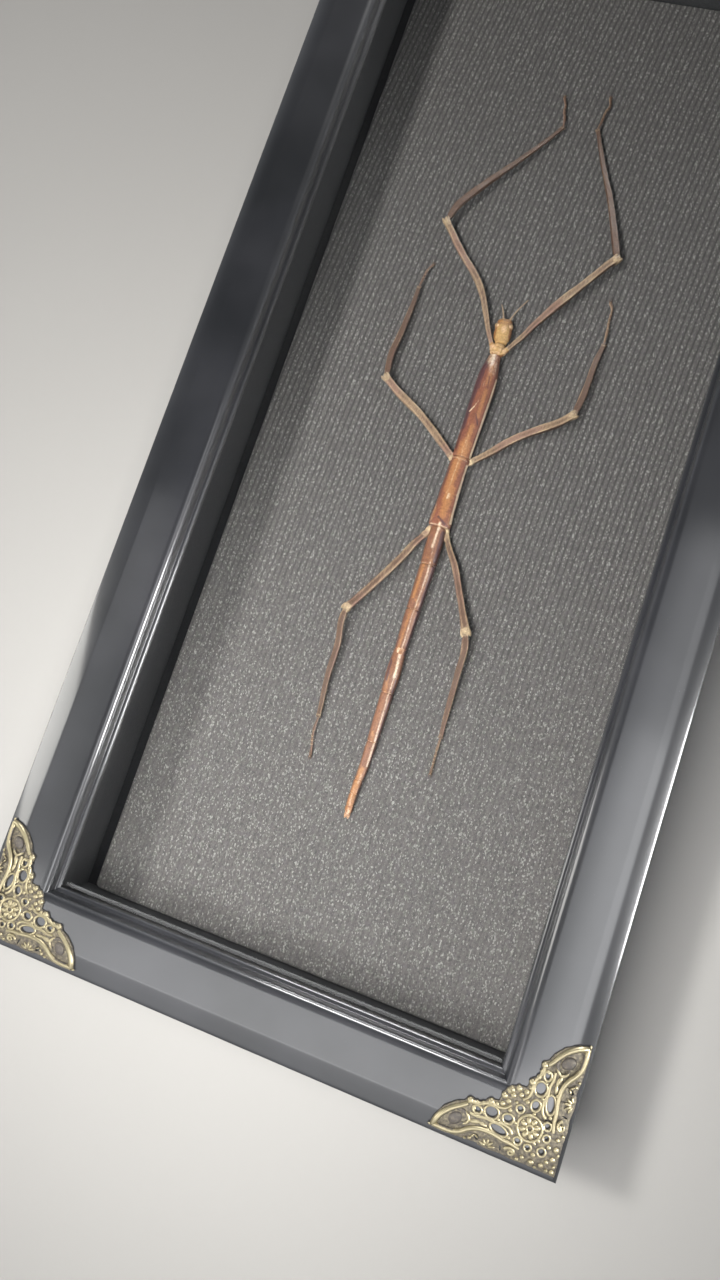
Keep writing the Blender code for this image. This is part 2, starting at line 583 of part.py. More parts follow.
def make_head(materials, collection, cutters):
    """Head with sockets for the eyes and the feelers, then the pronotum behind it."""
    rings = straight_segment(HEAD_STATIONS, HEAD_NECK, HEAD_LENGTH, HEAD_TURN)
    head = add_mesh("head", loft(rings), materials["head_ochre"], collection)
    for name, side in (("left", -1), ("right", 1)):
        centre = head_point(side * EYE_SIDE, EYE_BACK, 3.6)
        add_mesh("eye_" + name, ellipsoid(centre, EYE_RADII, HEAD_TURN), materials["eye"], collection)
        wide = [radius + GAP for radius in EYE_RADII]
        socket = make_cutter("eye_socket_" + name, ellipsoid(centre, wide, HEAD_TURN), cutters)
        boolean(head, socket, "DIFFERENCE")
        root = head_point(ANTENNAE[name][0], 0.5, 2.7)
        wide = [ANTENNA_RADIUS * 1.6 + GAP] * 3
        socket = make_cutter("feeler_socket_" + name, ellipsoid(root, wide, HEAD_TURN, 5, 8), cutters)
        boolean(head, socket, "DIFFERENCE")
    rings = straight_segment(PRONOTUM_STATIONS, PRONOTUM_BACK, PRONOTUM_LENGTH, PRONOTUM_TURN)
    add_mesh("pronotum", loft(rings), materials["head_ochre"], collection)


# ---------------------------------------------------------------- limbs
def smooth_value(table, share):
    """Read a smooth curve through (share, value) pairs, eased between neighbours."""
    for (a, low), (b, high) in zip(table, table[1:]):
        if share <= b:
            step = (share - a) / (b - a)
            return low + (high - low) * step * step * (3 - 2 * step)
    return table[-1][1]


def catmull(table, share):
    """A Catmull-Rom curve through (share, value) pairs."""
    padded = [table[0]] + list(table) + [table[-1]]
    for i in range(1, len(padded) - 2):
        (a, low), (b, high) = padded[i], padded[i + 1]
        if share <= b:
            step = (share - a) / max(b - a, 1e-6)
            before, after = padded[i - 1][1], padded[i + 2][1]
            return 0.5 * (2 * low + (high - before) * step
                          + (2 * before - 5 * low + 4 * high - after) * step ** 2
                          + (3 * low - before - 3 * high + after) * step ** 3)
    return padded[-1][1]


def limb_path(start, bearing, length, bends, low, high, count, reach=(0.0, 0.0)):
    """Points of a limb in millimetres; reach extends it past its two ends."""
    angle = math.radians(bearing)
    forward = Vector((math.sin(angle), math.cos(angle)))
    right = Vector((forward.y, -forward.x))
    table = [(0.0, 0.0)] + list(bends) + [(1.0, 0.0)]
    points = []
    for i in range(count):
        share = i / (count - 1)
        distance = share * length
        if i == 0:
            distance -= reach[0]
        if i == count - 1:
            distance += reach[1]
        place = Vector(start) + forward * distance + right * catmull(table, share)
        points.append(Vector((place.x, place.y, FABRIC_TOP + low + (high - low) * share)))
    return points


def limb_end(start, bearing, length):
    angle = math.radians(bearing)
    return start[0] + math.sin(angle) * length, start[1] + math.cos(angle) * length


def section_curve(name, outline, cutters):
    """A closed outline with a radius of one millimetre, used as the section of limbs."""
    data = bpy.data.curves.new(name, "CURVE")
    data.dimensions = "2D"
    data.fill_mode = "NONE"
    spline = data.splines.new("POLY")
    spline.points.add(len(outline) - 1)
    for point, (x, y) in zip(spline.points, outline):
        point.co = (mm(x), mm(y), 0.0, 1.0)
    spline.use_cyclic_u = True
    return make_cutter(name, data, cutters)


def limb_mesh(points, widths, section):
    """Sweep a section along the points; its radius follows the widths."""
    data = bpy.data.curves.new("limb", "CURVE")
    data.dimensions = "3D"
    data.twist_mode = "Z_UP"
    data.bevel_mode = "OBJECT"
    data.bevel_object = section
    data.use_fill_caps = True
    spline = data.splines.new("POLY")
    spline.points.add(len(points) - 1)
    for point, place, width in zip(spline.points, points, widths):
        point.co = (mm(place.x), mm(place.y), mm(place.z), 1.0)
        point.radius = width / 2
    return curve_to_mesh(data)


def spread_widths(widths, count):
    table = [(i / (len(widths) - 1), width) for i, width in enumerate(widths)]
    return [smooth_value(table, i / (count - 1)) for i in range(count)]


def joint_cut(first, second, corner, into_first, into_second):
    """Trim two limb meshes at the plane that halves their joint, leaving a gap."""
    normal = (into_second - into_first).normalized()
    point = Vector([mm(value) for value in corner])
    cut_by_plane(first, point - normal * mm(GAP / 2), normal)
    cut_by_plane(second, point + normal * mm(GAP / 2), -normal)


def direction(points, end):
    """Unit direction that leaves a joint into a limb; end is 0 at the start, -1 at the tip."""
    if end == 0:
        return (points[1] - points[0]).normalized()
    return (points[-2] - points[-1]).normalized()


def tarsus_widths(count):
    """Foot joints: each ends in a small swelling, and the last one widens to the claws."""
    widths = []
    for i in range(count):
        share = i / (count - 1)
        swelling = 0.16 * abs(math.sin(math.pi * (0.5 + 4.5 * share)))
        widths.append(1.15 - 0.25 * share + swelling)
    widths[-2] = 1.45
    widths[-1] = 1.1
    return widths


def claw_mesh(tip, bearing, side, round_section):
    """One of the two curved claws at the end of a foot."""
    points = []
    for i in range(3):
        share = i / 2
        angle = math.radians(bearing + side * (34 - 30 * share))
        reach = -0.6 + 2.6 * share
        points.append(Vector((tip.x + math.sin(angle) * reach + math.cos(angle) * side * 0.25,
                              tip.y + math.cos(angle) * reach - math.sin(angle) * side * 0.25,
                              tip.z + 0.25 * math.sin(math.pi * share))))
    return limb_mesh(points, [0.62, 0.58, 0.5], round_section)


def make_leg(name, leg, sections, trims, materials, collection, cutters):
    """Coxa, femur, tibia and tarsus of one leg, trimmed where they meet."""
    ridged, rounded = sections
    bearing_f, length_f, bends_f = leg["femur"]
    bearing_t, length_t, bends_t = leg["tibia"]
    bearing_s, length_s, bends_s = leg["tarsus"]
    knee_height = KNEE_HEIGHT[name.split("_")[0]]
    hip = leg["hip"]
    knee = limb_end(hip, bearing_f, length_f)
    ankle = limb_end(knee, bearing_t, length_t)

    root = Vector((*leg["coxa"], FABRIC_TOP + HIP_HEIGHT + 0.2))
    hip_place = Vector((*hip, FABRIC_TOP + HIP_HEIGHT))
    outward = (hip_place - root).normalized()
    coxa_points = [root, root.lerp(hip_place, 0.5), hip_place, hip_place + outward * 2.0]
    femur_points = limb_path(hip, bearing_f, length_f, bends_f, HIP_HEIGHT, knee_height, 10, (2.0, 2.0))
    tibia_points = limb_path(knee, bearing_t, length_t, bends_t, knee_height, ANKLE_HEIGHT, 9, (2.2, 1.0))
    tarsus_points = limb_path(ankle, bearing_s, length_s, bends_s, ANKLE_HEIGHT, CLAW_HEIGHT, 8, (1.2, 0.0))

    hip_width = leg["femur_width"][0]
    coxa = limb_mesh(coxa_points, [COXA_WIDTH, COXA_WIDTH, hip_width + 0.3, hip_width], ridged)
    femur = limb_mesh(femur_points, spread_widths(leg["femur_width"], 10), ridged)
    tibia = limb_mesh(tibia_points, spread_widths(leg["tibia_width"], 9), ridged)
    tarsus = limb_mesh(tarsus_points, tarsus_widths(8), rounded)

    corner = Vector((*knee, FABRIC_TOP + knee_height))
    joint_cut(coxa, femur, hip_place, -outward, direction(femur_points, 0))
    joint_cut(femur, tibia, corner, direction(femur_points, -1), direction(tibia_points, 0))
    corner = Vector((*ankle, FABRIC_TOP + ANKLE_HEIGHT))
    joint_cut(tibia, tarsus, corner, direction(tibia_points, -1), direction(tarsus_points, 0))

    leg_tan = materials["leg_tan"]
    front = name.startswith("front")
    for part, mesh in (("coxa_", coxa), ("femur_", femur)):
        made = add_mesh(part + name, mesh, leg_tan, collection)
        for trim in trims if front else trims[:1]:
            boolean(made, trim, "DIFFERENCE")
    add_mesh("tibia_" + name, tibia, leg_tan, collection)
    foot = add_mesh("tarsus_" + name, tarsus, leg_tan, collection)
    for side, word in ((-1, "a"), (1, "b")):
        claw = claw_mesh(tarsus_points[-1], bearing_s, side, rounded)
        boolean(foot, make_cutter("claw_" + name + "_" + word, claw, cutters), "UNION")


def make_antennae(round_section, materials, collection):
    """Two short feelers, thick at the root and bent outwards."""
    for name, (side, first, last, length) in ANTENNAE.items():
        place = Vector(head_point(side, 0.5, 2.7))
        points, widths = [place.copy()], [3.0 * ANTENNA_RADIUS]
        for i in range(5):
            share = i / 4
            angle = math.radians(first + (last - first) * min(1.0, 1.5 * share))
            place += Vector((math.sin(angle), math.cos(angle), -0.08)) * (length / 5)
            points.append(place.copy())
            widths.append(ANTENNA_RADIUS * (2.3 - 0.9 * share))
        mesh = limb_mesh(points, widths, round_section)
        add_mesh("antenna_" + name, mesh, materials["leg_tan"], collection)


def make_cerci(tip_y, round_section, collection, cutters):
    """Two small leaf-shaped cerci, joined to the last segment of the abdomen."""
    last = collection.objects["abdomen_10"]
    for side, word in ((-1, "a"), (1, "b")):
        centre = body_x(tip_y)
        height = FABRIC_TOP + REST_GAP + 1.4
        points = [Vector((centre + side * 0.75, tip_y + 1.6, height)),
                  Vector((centre + side * 0.85, tip_y + 0.2, height)),
                  Vector((centre + side * 0.7, tip_y - 1.0, height - 0.1))]
        cercus = limb_mesh(points, [0.9, 1.1, 0.6], round_section)
        boolean(last, make_cutter("cercus_" + word, cercus, cutters), "UNION")


def main():
    clear_scene()
    collection = make_collection("framed_stick_insect")
    cutters = make_collection("cutters")
    materials = make_materials()

    make_rails(materials, collection)
    make_filling(materials, collection)
    make_hanger(materials, collection)
    make_ornaments(materials, collection, cutters)

    make_head(materials, collection, cutters)
    tip_y = make_trunk(materials, collection)
    trims = make_clearance(cutters)
    flat = [(x, y * LIMB_FLATNESS) for x, y in LIMB_SECTION]
    ridged = section_curve("ridged_section", flat, cutters)
    rounded = section_curve("round_section", arc((0.0, 0.0), 1.0, 0, 360 * 5 / 6, 5), cutters)
    for name, leg in LEGS.items():
        make_leg(name, leg, (ridged, rounded), trims, materials, collection, cutters)
    make_antennae(rounded, materials, collection)
    make_cerci(tip_y, rounded, collection, cutters)


main()
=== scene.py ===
# %% [markdown]
# # A giant stick insect in a glazed box frame
# The finished piece is a dried stick insect, 24 cm long, laid flat on ribbed grey cloth in a deep
# black frame with gilt corner ornaments.  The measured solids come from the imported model, and
# every piece made here sits where those solids say, in metres, with +Y towards the insect's head
# and +Z out of the glass.

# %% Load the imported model
import math
import bmesh
import bpy
import numpy as np
from mathutils import Matrix, Vector


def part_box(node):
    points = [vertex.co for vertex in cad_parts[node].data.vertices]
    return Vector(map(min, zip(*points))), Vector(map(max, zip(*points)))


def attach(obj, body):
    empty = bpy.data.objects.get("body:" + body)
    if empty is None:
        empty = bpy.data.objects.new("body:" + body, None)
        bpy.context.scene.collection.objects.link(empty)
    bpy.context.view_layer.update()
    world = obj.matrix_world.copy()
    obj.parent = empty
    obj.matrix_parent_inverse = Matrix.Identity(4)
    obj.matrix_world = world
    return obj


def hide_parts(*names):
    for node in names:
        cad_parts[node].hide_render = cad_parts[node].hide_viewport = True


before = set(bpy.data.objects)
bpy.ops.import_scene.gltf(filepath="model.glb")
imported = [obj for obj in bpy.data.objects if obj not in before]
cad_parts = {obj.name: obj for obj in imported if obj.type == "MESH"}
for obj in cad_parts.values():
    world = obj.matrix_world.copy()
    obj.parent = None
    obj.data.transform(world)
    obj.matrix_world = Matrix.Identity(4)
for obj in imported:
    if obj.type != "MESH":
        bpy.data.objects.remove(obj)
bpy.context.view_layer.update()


# %% [markdown]
# ## Small helpers
# Blender works in metres and the sizes of this piece are easier to read in millimetres, so `mm()`
# turns one into the other.  `add_mesh` makes an object from points and faces, and `paint` stores
# one number for each point.  Materials read those numbers later, so that a pale knee or a dark
# groove lies exactly where the shape has it.

# %% Sizes, curves and turns
def mm(value):
    return value * 0.001


def smooth_step(value):
    value = np.clip(value, 0, 1)
    return value * value * (3 - 2 * value)


def bell(distance, width):
    """1 where distance is 0, falling smoothly to nothing over a few widths."""
    return np.exp(-(np.asarray(distance) / width) ** 2)


def turned(x, y, degrees):
    """Turn points about the origin, seen from above; a positive turn is anticlockwise."""
    turn = math.radians(degrees)
    return x * math.cos(turn) - y * math.sin(turn), x * math.sin(turn) + y * math.cos(turn)


def compass(bearing):
    """The directions ahead and to the right; a bearing is counted from +Y towards +X."""
    turn = math.radians(bearing)
    ahead = np.array([math.sin(turn), math.cos(turn)])
    return ahead, np.array([ahead[1], -ahead[0]])


print("a bearing of 90 points to", np.round(compass(90)[0], 3))


# %% Making, painting and placing a mesh
def place_object(name, data):
    made = bpy.data.objects.new(name, data)
    bpy.context.scene.collection.objects.link(made)
    return made


def add_mesh(name, points, faces, smooth=True):
    """points are in millimetres."""
    mesh = bpy.data.meshes.new(name)
    mesh.from_pydata((np.asarray(points, float) * 0.001).tolist(), [], faces)
    mesh.validate()
    if smooth:
        mesh.shade_smooth()
    return place_object(name, mesh)


def paint(piece, name, values):
    layer = piece.data.attributes.new(name, "FLOAT", "POINT")
    layer.data.foreach_set("value", np.asarray(values, np.float32).ravel())


def settle(piece, slot, *replaced):
    """Every piece rides on the one body and stands for the CAD nodes that it hides. The slot is not
    used.
    """
    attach(piece, "root")
    if replaced:
        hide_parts(*replaced)
    return piece


def dress(piece, material):
    piece.data.materials.clear()
    piece.data.materials.append(material)
    return piece


print("a millimetre in Blender's metres:", mm(1.0))


# %% Closed shells
def ring_faces(rows, sides, closed_ends=True):
    """Quads between neighbouring rings of points, with a face over each end."""
    faces = []
    for row in range(rows - 1):
        for i in range(sides):
            j = (i + 1) % sides
            a, b = row * sides, (row + 1) * sides
            faces.append((a + i, a + j, b + j, b + i))
    if closed_ends:
        faces.append(tuple(reversed(range(sides))))
        faces.append(tuple((rows - 1) * sides + i for i in range(sides)))
    return faces


def turn_outwards(piece, crease=None):
    """Make every face look out; crease is the bend in degrees that still shades as an edge."""
    shape = bmesh.new()
    shape.from_mesh(piece.data)
    bmesh.ops.recalc_face_normals(shape, faces=shape.faces)
    shape.to_mesh(piece.data)
    shape.free()
    if crease:
        piece.data.set_sharp_from_angle(angle=math.radians(crease))
    return piece


def join_shells(name, shells):
    """One mesh from several closed shells, each a pair of points and faces."""
    points, faces, start = [], [], 0
    for shell_points, shell_faces in shells:
        points.append(np.asarray(shell_points, float))
        faces += [tuple(start + i for i in face) for face in shell_faces]
        start += len(shell_points)
    return add_mesh(name, np.vstack(points), faces)


print("faces of a tube of 3 rings of 8 points:", len(ring_faces(3, 8)))


# %% [markdown]
# ## A short way to write shader nodes
# Each finish is a small network of shader nodes.  Written out in full they hide the idea behind
# the bookkeeping, so this class has one short method for each kind of node that the finishes need.
# Everything reads the object's own coordinates, in metres, so a grain has its real size.

# %% The node writer
def of_kind(sockets, kind):
    """A Mix node keeps a set of sockets for each kind of value; these are the ones of one kind."""
    return [socket for socket in sockets if socket.type == kind]


class Recipe:
    def __init__(self, tree, shader=None):
        self.tree, self.shader = tree, shader

    def node(self, kind, **settings):
        made = self.tree.nodes.new("ShaderNode" + kind)
        for key, value in settings.items():
            setattr(made, key, value)
        return made

    def feed(self, socket, value):
        """Link a socket to another node, or set it to a number or a colour."""
        if hasattr(value, "is_output"):
            self.tree.links.new(value, socket)
        elif socket.type == "RGBA":
            socket.default_value = (*value, 1)
        else:
            socket.default_value = value

    def feed_all(self, sockets, values):
        for socket, value in zip(sockets, values):
            if value is not None:
                self.feed(socket, value)

    def coordinates(self, stretch=(1, 1, 1)):
        """Object coordinates in millimetres, squeezed or stretched along each axis."""
        scaled = self.node("Mapping")
        scaled.inputs["Scale"].default_value = [1000 * value for value in stretch]
        self.feed(scaled.inputs["Vector"], self.node("TexCoord").outputs["Object"])
        return scaled.outputs["Vector"]

    def maths(self, kind, first, second=0, third=None, clamp=False):
        made = self.node("Math", operation=kind, use_clamp=clamp)
        self.feed_all(made.inputs, (first, second, third))
        return made.outputs[0]

    def times(self, first, second):
        return self.maths("MULTIPLY", first, second)

    def scaled(self, value, factor, added):
        return self.maths("MULTIPLY_ADD", value, factor, added)

    def grain(self, place, size, detail=3, roughness=0.55, distortion=0):
        """Noise whose blotches are about `size` millimetres across, centred on 0.5."""
        made = self.node("TexNoise")
        linked = hasattr(size, "is_output")
        scale = self.maths("DIVIDE", 1, size) if linked else 1 / size
        names = ("Vector", "Scale", "Detail", "Roughness", "Distortion")
        self.feed_all((made.inputs[name] for name in names),
                      (place, scale, detail, roughness, distortion))
        return made.outputs["Fac"]

    def cells(self, place, size):
        """Patches about `size` millimetres across: use Distance, or Color for a lot each."""
        made = self.node("TexVoronoi")
        self.feed_all((made.inputs["Vector"], made.inputs["Scale"]), (place, 1 / size))
        return made.outputs

    def spread(self, value, low, high, to_low=0, to_high=1):
        made = self.node("MapRange", interpolation_type="SMOOTHSTEP")
        self.feed_all(made.inputs, (value, low, high, to_low, to_high))
        return made.outputs[0]

    def mix(self, share, first, second, blend="MIX"):
        made = self.node("Mix", data_type="RGBA", blend_type=blend)
        self.feed(made.inputs["Factor"], share)
        self.feed_all(of_kind(made.inputs, "RGBA"), (first, second))
        return of_kind(made.outputs, "RGBA")[0]

    def painted(self, name):
        return self.node("Attribute", attribute_type="GEOMETRY", attribute_name=name).outputs["Fac"]

    def group(self, made, **values):
        used = self.node("Group")
        used.node_tree = made
        for key, value in values.items():
            self.feed(used.inputs[key.replace("_", " ").title()], value)
        return used.outputs

    def surface(self, colour, roughness, height=None, depth=0):
        """Feed what changes over a surface; depth is the rise in millimetres from height 0 to 1."""
        self.feed(self.shader["Base Color"], colour)
        self.feed(self.shader["Roughness"], roughness)
        if height is not None:
            made = self.node("Bump")
            made.inputs["Distance"].default_value = mm(depth)
            self.feed(made.inputs["Height"], height)
            self.feed(self.shader["Normal"], made.outputs["Normal"])


print("kinds of node the writer knows:", len([name for name in dir(Recipe) if name[0] != "_"]))


# %% New groups and new finishes
def new_group(name, inputs, outputs):
    """A node group with named sockets; inputs and outputs are (name, kind, default)."""
    tree = bpy.data.node_groups.new(name, "ShaderNodeTree")
    for label, kind, default in inputs:
        socket = tree.interface.new_socket(label, in_out="INPUT", socket_type="NodeSocket" + kind)
        socket.default_value = (*default, 1) if kind == "Color" else default
    for label, kind in outputs:
        tree.interface.new_socket(label, in_out="OUTPUT", socket_type="NodeSocket" + kind)
    entry = tree.nodes.new("NodeGroupInput")
    leave = tree.nodes.new("NodeGroupOutput")
    return tree, Recipe(tree), entry.outputs, leave.inputs


def new_finish(name, **constants):
    """A material with one Principled shader; the constants are set on its own sockets."""
    made = bpy.data.materials.new(name)
    made.use_nodes = True
    shader = made.node_tree.nodes["Principled BSDF"].inputs
    for key, value in constants.items():
        shader[key.replace("_", " ")].default_value = value
    return made, Recipe(made.node_tree, shader)


print("node writer ready")


# %% [markdown]
# ## Effects that several finishes share
# Four effects come back again and again on this piece: a little dust, fine fibres, the play of
# cast or drawn metal between its high and low places, and the mottled look of a dried insect's
# cuticle. Each is a node group, built once, that gives out only colours and plain values.

# %% Dust group
def build_dust():
    tree, recipe, given, gives = new_group(
        "settled_dust",
        [("Base Colour", "Color", (0.03, 0.03, 0.03)), ("Dust Colour", "Color", (0.4, 0.39, 0.37)),
         ("Speck Share", "Float", 0.5), ("Film", "Float", 0.06)],
        [("Colour", "Color"), ("Mask", "Float")])
    place = recipe.coordinates()
    specks = recipe.times(recipe.spread(recipe.cells(place, 1.7)["Distance"], 0.05, 0.11, 1, 0),
                          recipe.spread(recipe.grain(place, 9, 2), 0.6, 0.72))
    film = recipe.times(recipe.spread(recipe.grain(place, 34, 4), 0.35, 0.75), given["Film"])
    mask = recipe.maths("ADD", recipe.times(specks, given["Speck Share"]), film, clamp=True)
    recipe.feed(gives["Colour"], recipe.mix(mask, given["Base Colour"], given["Dust Colour"]))
    recipe.feed(gives["Mask"], mask)
    return tree


dust = build_dust()
print("group:", dust.name)


# %% Fibre group
def build_fibres():
    """Short fibres that run along Y: used by the cloth, the board and the liner paper."""
    tree, recipe, given, gives = new_group(
        "fine_fibres",
        [("Dark Colour", "Color", (0.1, 0.1, 0.1)), ("Light Colour", "Color", (0.2, 0.2, 0.2)),
         ("Width", "Float", 0.25), ("Tangle", "Float", 0.5)],
        [("Colour", "Color"), ("Height", "Float")])
    along = recipe.grain(recipe.coordinates((1, 0.22, 1)), given["Width"], 4, 0.6, 0.6)
    across = recipe.grain(recipe.coordinates((0.3, 1, 0.6)), given["Width"], 3, 0.6, 1.2)
    tangled = recipe.node("Mix", data_type="FLOAT")
    recipe.feed_all(of_kind(tangled.inputs, "VALUE"), (given["Tangle"], along, across))
    share = recipe.spread(of_kind(tangled.outputs, "VALUE")[0], 0.32, 0.68)
    recipe.feed(gives["Colour"], recipe.mix(share, given["Dark Colour"], given["Light Colour"]))
    recipe.feed(gives["Height"], share)
    return tree


fibres = build_fibres()
print("group:", fibres.name)


# %% Metal group
def build_metal():
    """Bright where metal is rubbed, darker and duller where it is low or tarnished."""
    tree, recipe, given, gives = new_group(
        "rubbed_metal",
        [("Rubbed Colour", "Color", (0.8, 0.7, 0.4)), ("Low Colour", "Color", (0.15, 0.12, 0.07)),
         ("Raised", "Float", 1), ("Tarnish Size", "Float", 1.2)],
        [("Colour", "Color"), ("Roughness", "Float"), ("Height", "Float")])
    place = recipe.coordinates()
    blotch = recipe.grain(place, given["Tarnish Size"], 5, 0.6)
    fine = recipe.grain(place, 0.16, 3, 0.6)
    uneven = recipe.times(recipe.maths("SUBTRACT", blotch, 0.5), 0.9)
    share = recipe.spread(recipe.maths("ADD", given["Raised"], uneven), 0.16, 0.86)
    recipe.feed(gives["Colour"], recipe.mix(share, given["Low Colour"], given["Rubbed Colour"]))
    recipe.feed(gives["Roughness"], recipe.scaled(fine, 0.12, recipe.scaled(share, -0.3, 0.62)))
    recipe.feed(gives["Height"], recipe.scaled(blotch, 0.6, recipe.times(fine, 0.4)))
    return tree


metal = build_metal()
print("group:", metal.name)


# %% Cuticle group
def build_cuticle():
    """Dried cuticle: long streaks, small mottling and fine pits, with pale and dark places."""
    tree, recipe, given, gives = new_group(
        "dried_cuticle",
        [("Base Colour", "Color", (0.4, 0.15, 0.06)), ("Deep Colour", "Color", (0.15, 0.04, 0.02)),
         ("Pale Colour", "Color", (0.8, 0.6, 0.4)), ("Warm Colour", "Color", (0.6, 0.28, 0.08)),
         ("Pale", "Float", 0), ("Deep", "Float", 0), ("Warm", "Float", 0),
         ("Streak Width", "Float", 0.7), ("Gloss", "Float", 0.3)],
        [("Colour", "Color"), ("Roughness", "Float"), ("Height", "Float")])
    place = recipe.coordinates()
    drawn_out = recipe.coordinates((1, 0.16, 1))
    streak = recipe.grain(drawn_out, given["Streak Width"], 4, 0.6, 0.4)
    mottle = recipe.grain(place, 0.9, 5, 0.65, 0.3)
    pits = recipe.cells(place, 0.3)["Distance"]
    ragged = recipe.maths("SUBTRACT", recipe.scaled(streak, 0.6, recipe.times(mottle, 0.4)), 0.5)
    colour = recipe.mix(recipe.spread(streak, 0.42, 0.72, 0, 0.52),
                        given["Base Colour"], given["Deep Colour"])
    for mark, reach in (("Warm", 1.1), ("Deep", 1.2), ("Pale", 0.9)):
        edge = recipe.spread(recipe.scaled(ragged, reach, given[mark]), 0.22, 0.78)
        colour = recipe.mix(edge, colour, given[mark + " Colour"])
    tone = recipe.node("CombineColor")
    recipe.feed_all(tone.inputs, 3 * [recipe.spread(mottle, 0.28, 0.72, 0.76, 1.2)])
    recipe.feed(gives["Colour"], recipe.mix(1, colour, tone.outputs[0], "MULTIPLY"))
    recipe.feed(gives["Roughness"],
                recipe.scaled(recipe.spread(mottle, 0.3, 0.7), 0.16, given["Gloss"]))
    rise = recipe.scaled(streak, 0.5, recipe.times(mottle, 0.6))
    recipe.feed(gives["Height"], recipe.scaled(recipe.spread(pits, 0, 0.35), 0.35, rise))
    return tree


cuticle = build_cuticle()
print("group:", cuticle.name)


# %% [markdown]
# ## The finishes of the frame
# The moulding is wood wrapped in a satin black lacquer: almost black, with a soft sheen that shows
# the pale studio on its rounded edges, and a little dust.  The strips under the lip are matt black
# card.  The back board is brown hardboard, but its faces that look upwards are made near black:
# painted shade for the deep, narrow slot beside the cloth panel.  So the colour follows which way
# the surface looks.

# %% Lacquer, liner, board
def make_lacquer():
    made, recipe = new_finish("satin_black_lacquer", Specular_IOR_Level=0.4,
                              Coat_Weight=1, Coat_Roughness=0.13, Coat_IOR=1.6)
    place = recipe.coordinates()
    ground = recipe.mix(recipe.spread(recipe.grain(place, 60, 3), 0.3, 0.7),
                        (0.01, 0.011, 0.013), (0.02, 0.021, 0.025))
    dusty = recipe.group(dust, Base_Colour=ground, Dust_Colour=(0.3, 0.3, 0.31),
                         Speck_Share=0.16, Film=0.015)
    orange_peel = recipe.grain(place, 0.55, 3, 0.5)
    rubbed = recipe.scaled(recipe.grain(place, 14, 5, 0.6), 0.1, 0.34)
    recipe.surface(dusty["Colour"], recipe.scaled(dusty["Mask"], 0.4, rubbed), orange_peel, 0.0007)
    return made


def make_liner():
    made, recipe = new_finish("matt_black_liner", Specular_IOR_Level=0.25)
    paper = recipe.group(fibres, Dark_Colour=(0.032, 0.032, 0.034),
                         Light_Colour=(0.066, 0.066, 0.07), Width=0.35, Tangle=0.45)
    dusty = recipe.group(dust, Base_Colour=paper["Colour"], Dust_Colour=(0.2, 0.2, 0.2),
                         Speck_Share=0.4, Film=0.03)
    recipe.surface(dusty["Colour"], recipe.scaled(paper["Height"], 0.15, 0.72),
                   paper["Height"], 0.03)
    return made


def make_board():
    made, recipe = new_finish("back_hardboard", Specular_IOR_Level=0.3)
    chips = recipe.group(fibres, Dark_Colour=(0.085, 0.044, 0.02),
                         Light_Colour=(0.23, 0.13, 0.062), Width=0.6, Tangle=0.5)
    blotch = recipe.spread(recipe.grain(recipe.coordinates(), 22, 4), 0.3, 0.7)
    brown = recipe.mix(recipe.times(blotch, 0.35), chips["Colour"], (0.12, 0.066, 0.032))
    facing = recipe.node("SeparateXYZ")
    recipe.feed(facing.inputs[0], recipe.node("NewGeometry").outputs["Normal"])
    # faces that look up are made near black: painted shade for the deep, narrow slot beside the
    # cloth panel
    upward_painted_shade = recipe.spread(facing.outputs["Z"], 0.3, 0.6)
    recipe.surface(recipe.mix(upward_painted_shade, brown, (0.008, 0.008, 0.009)),
                   recipe.scaled(chips["Height"], 0.2, 0.62), chips["Height"], 0.05)
    return made


lacquer, liner, board = make_lacquer(), make_liner(), make_board()
for side in ("left", "right", "top", "bottom"):
    dress(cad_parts["spacer_" + side], liner)
dress(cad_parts["back_board"], board)
print("finishes:", lacquer.name, liner.name, board.name)


# %% [markdown]
# ## Glass
# Real picture glass lets nearly all light through.  A shader that bends light would make Blender
# treat every shadow ray as blocked, so rays that only carry light between dull surfaces get a see-
# through shader with a faint green tint, and everything else meets real glass.

# %% Glass
def make_glass():
    made, recipe = new_finish("picture_glass", Transmission_Weight=1, IOR=1.42)
    smear = recipe.grain(recipe.coordinates((1, 0.25, 1)), 26, 4)
    wiped = recipe.spread(smear, 0.45, 0.8)
    recipe.surface(recipe.mix(wiped, (0.985, 0.995, 0.99), (0.965, 0.98, 0.975)),
                   recipe.times(wiped, 0.012))
    clear = recipe.node("BsdfTransparent")
    recipe.feed(clear.inputs["Color"], (0.95, 0.96, 0.955))
    choice = recipe.node("MixShader")
    ray = recipe.node("LightPath").outputs
    light_only = recipe.maths("MAXIMUM", ray["Is Shadow Ray"], ray["Is Diffuse Ray"])
    nodes = made.node_tree.nodes
    recipe.feed_all(choice.inputs,
                    (light_only, nodes["Principled BSDF"].outputs[0], clear.outputs[0]))
    recipe.feed(nodes["Material Output"].inputs["Surface"], choice.outputs[0])
    return made


def make_pane(ground_edge=0.3):
    """Ground all round, flat and true on both faces, so that nothing it mirrors is bent."""
    low, high = (np.array(corner) * 1000.0 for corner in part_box("glass_pane"))
    shape = bmesh.new()
    bmesh.ops.create_cube(shape, size=1)
    for corner in shape.verts:
        corner.co = [mm(a + (share + 0.5) * (b - a)) for share, a, b in zip(corner.co, low, high)]
    bmesh.ops.bevel(shape, geom=shape.edges[:], offset=mm(ground_edge), segments=1, affect="EDGES")
    mesh = bpy.data.meshes.new("picture_pane")
    shape.to_mesh(mesh)
    shape.free()
    return place_object("picture_pane", mesh)


pane = settle(dress(make_pane(), make_glass()), "glass", "glass_pane")
print("glass pane, corners:", len(pane.data.vertices))


# %% [markdown]
# ## The moulding
# The frame is one profile, cut four times at 45 degrees.  A mitred rail needs no cutting tool
# here: a point of the profile that lies further out simply runs further along, by just as much, so
# each end comes out as a clean slope.  The flat face turns over into a gentle outer shoulder, and
# both front edges are rounded with many small steps, because that is what draws the bright lines.

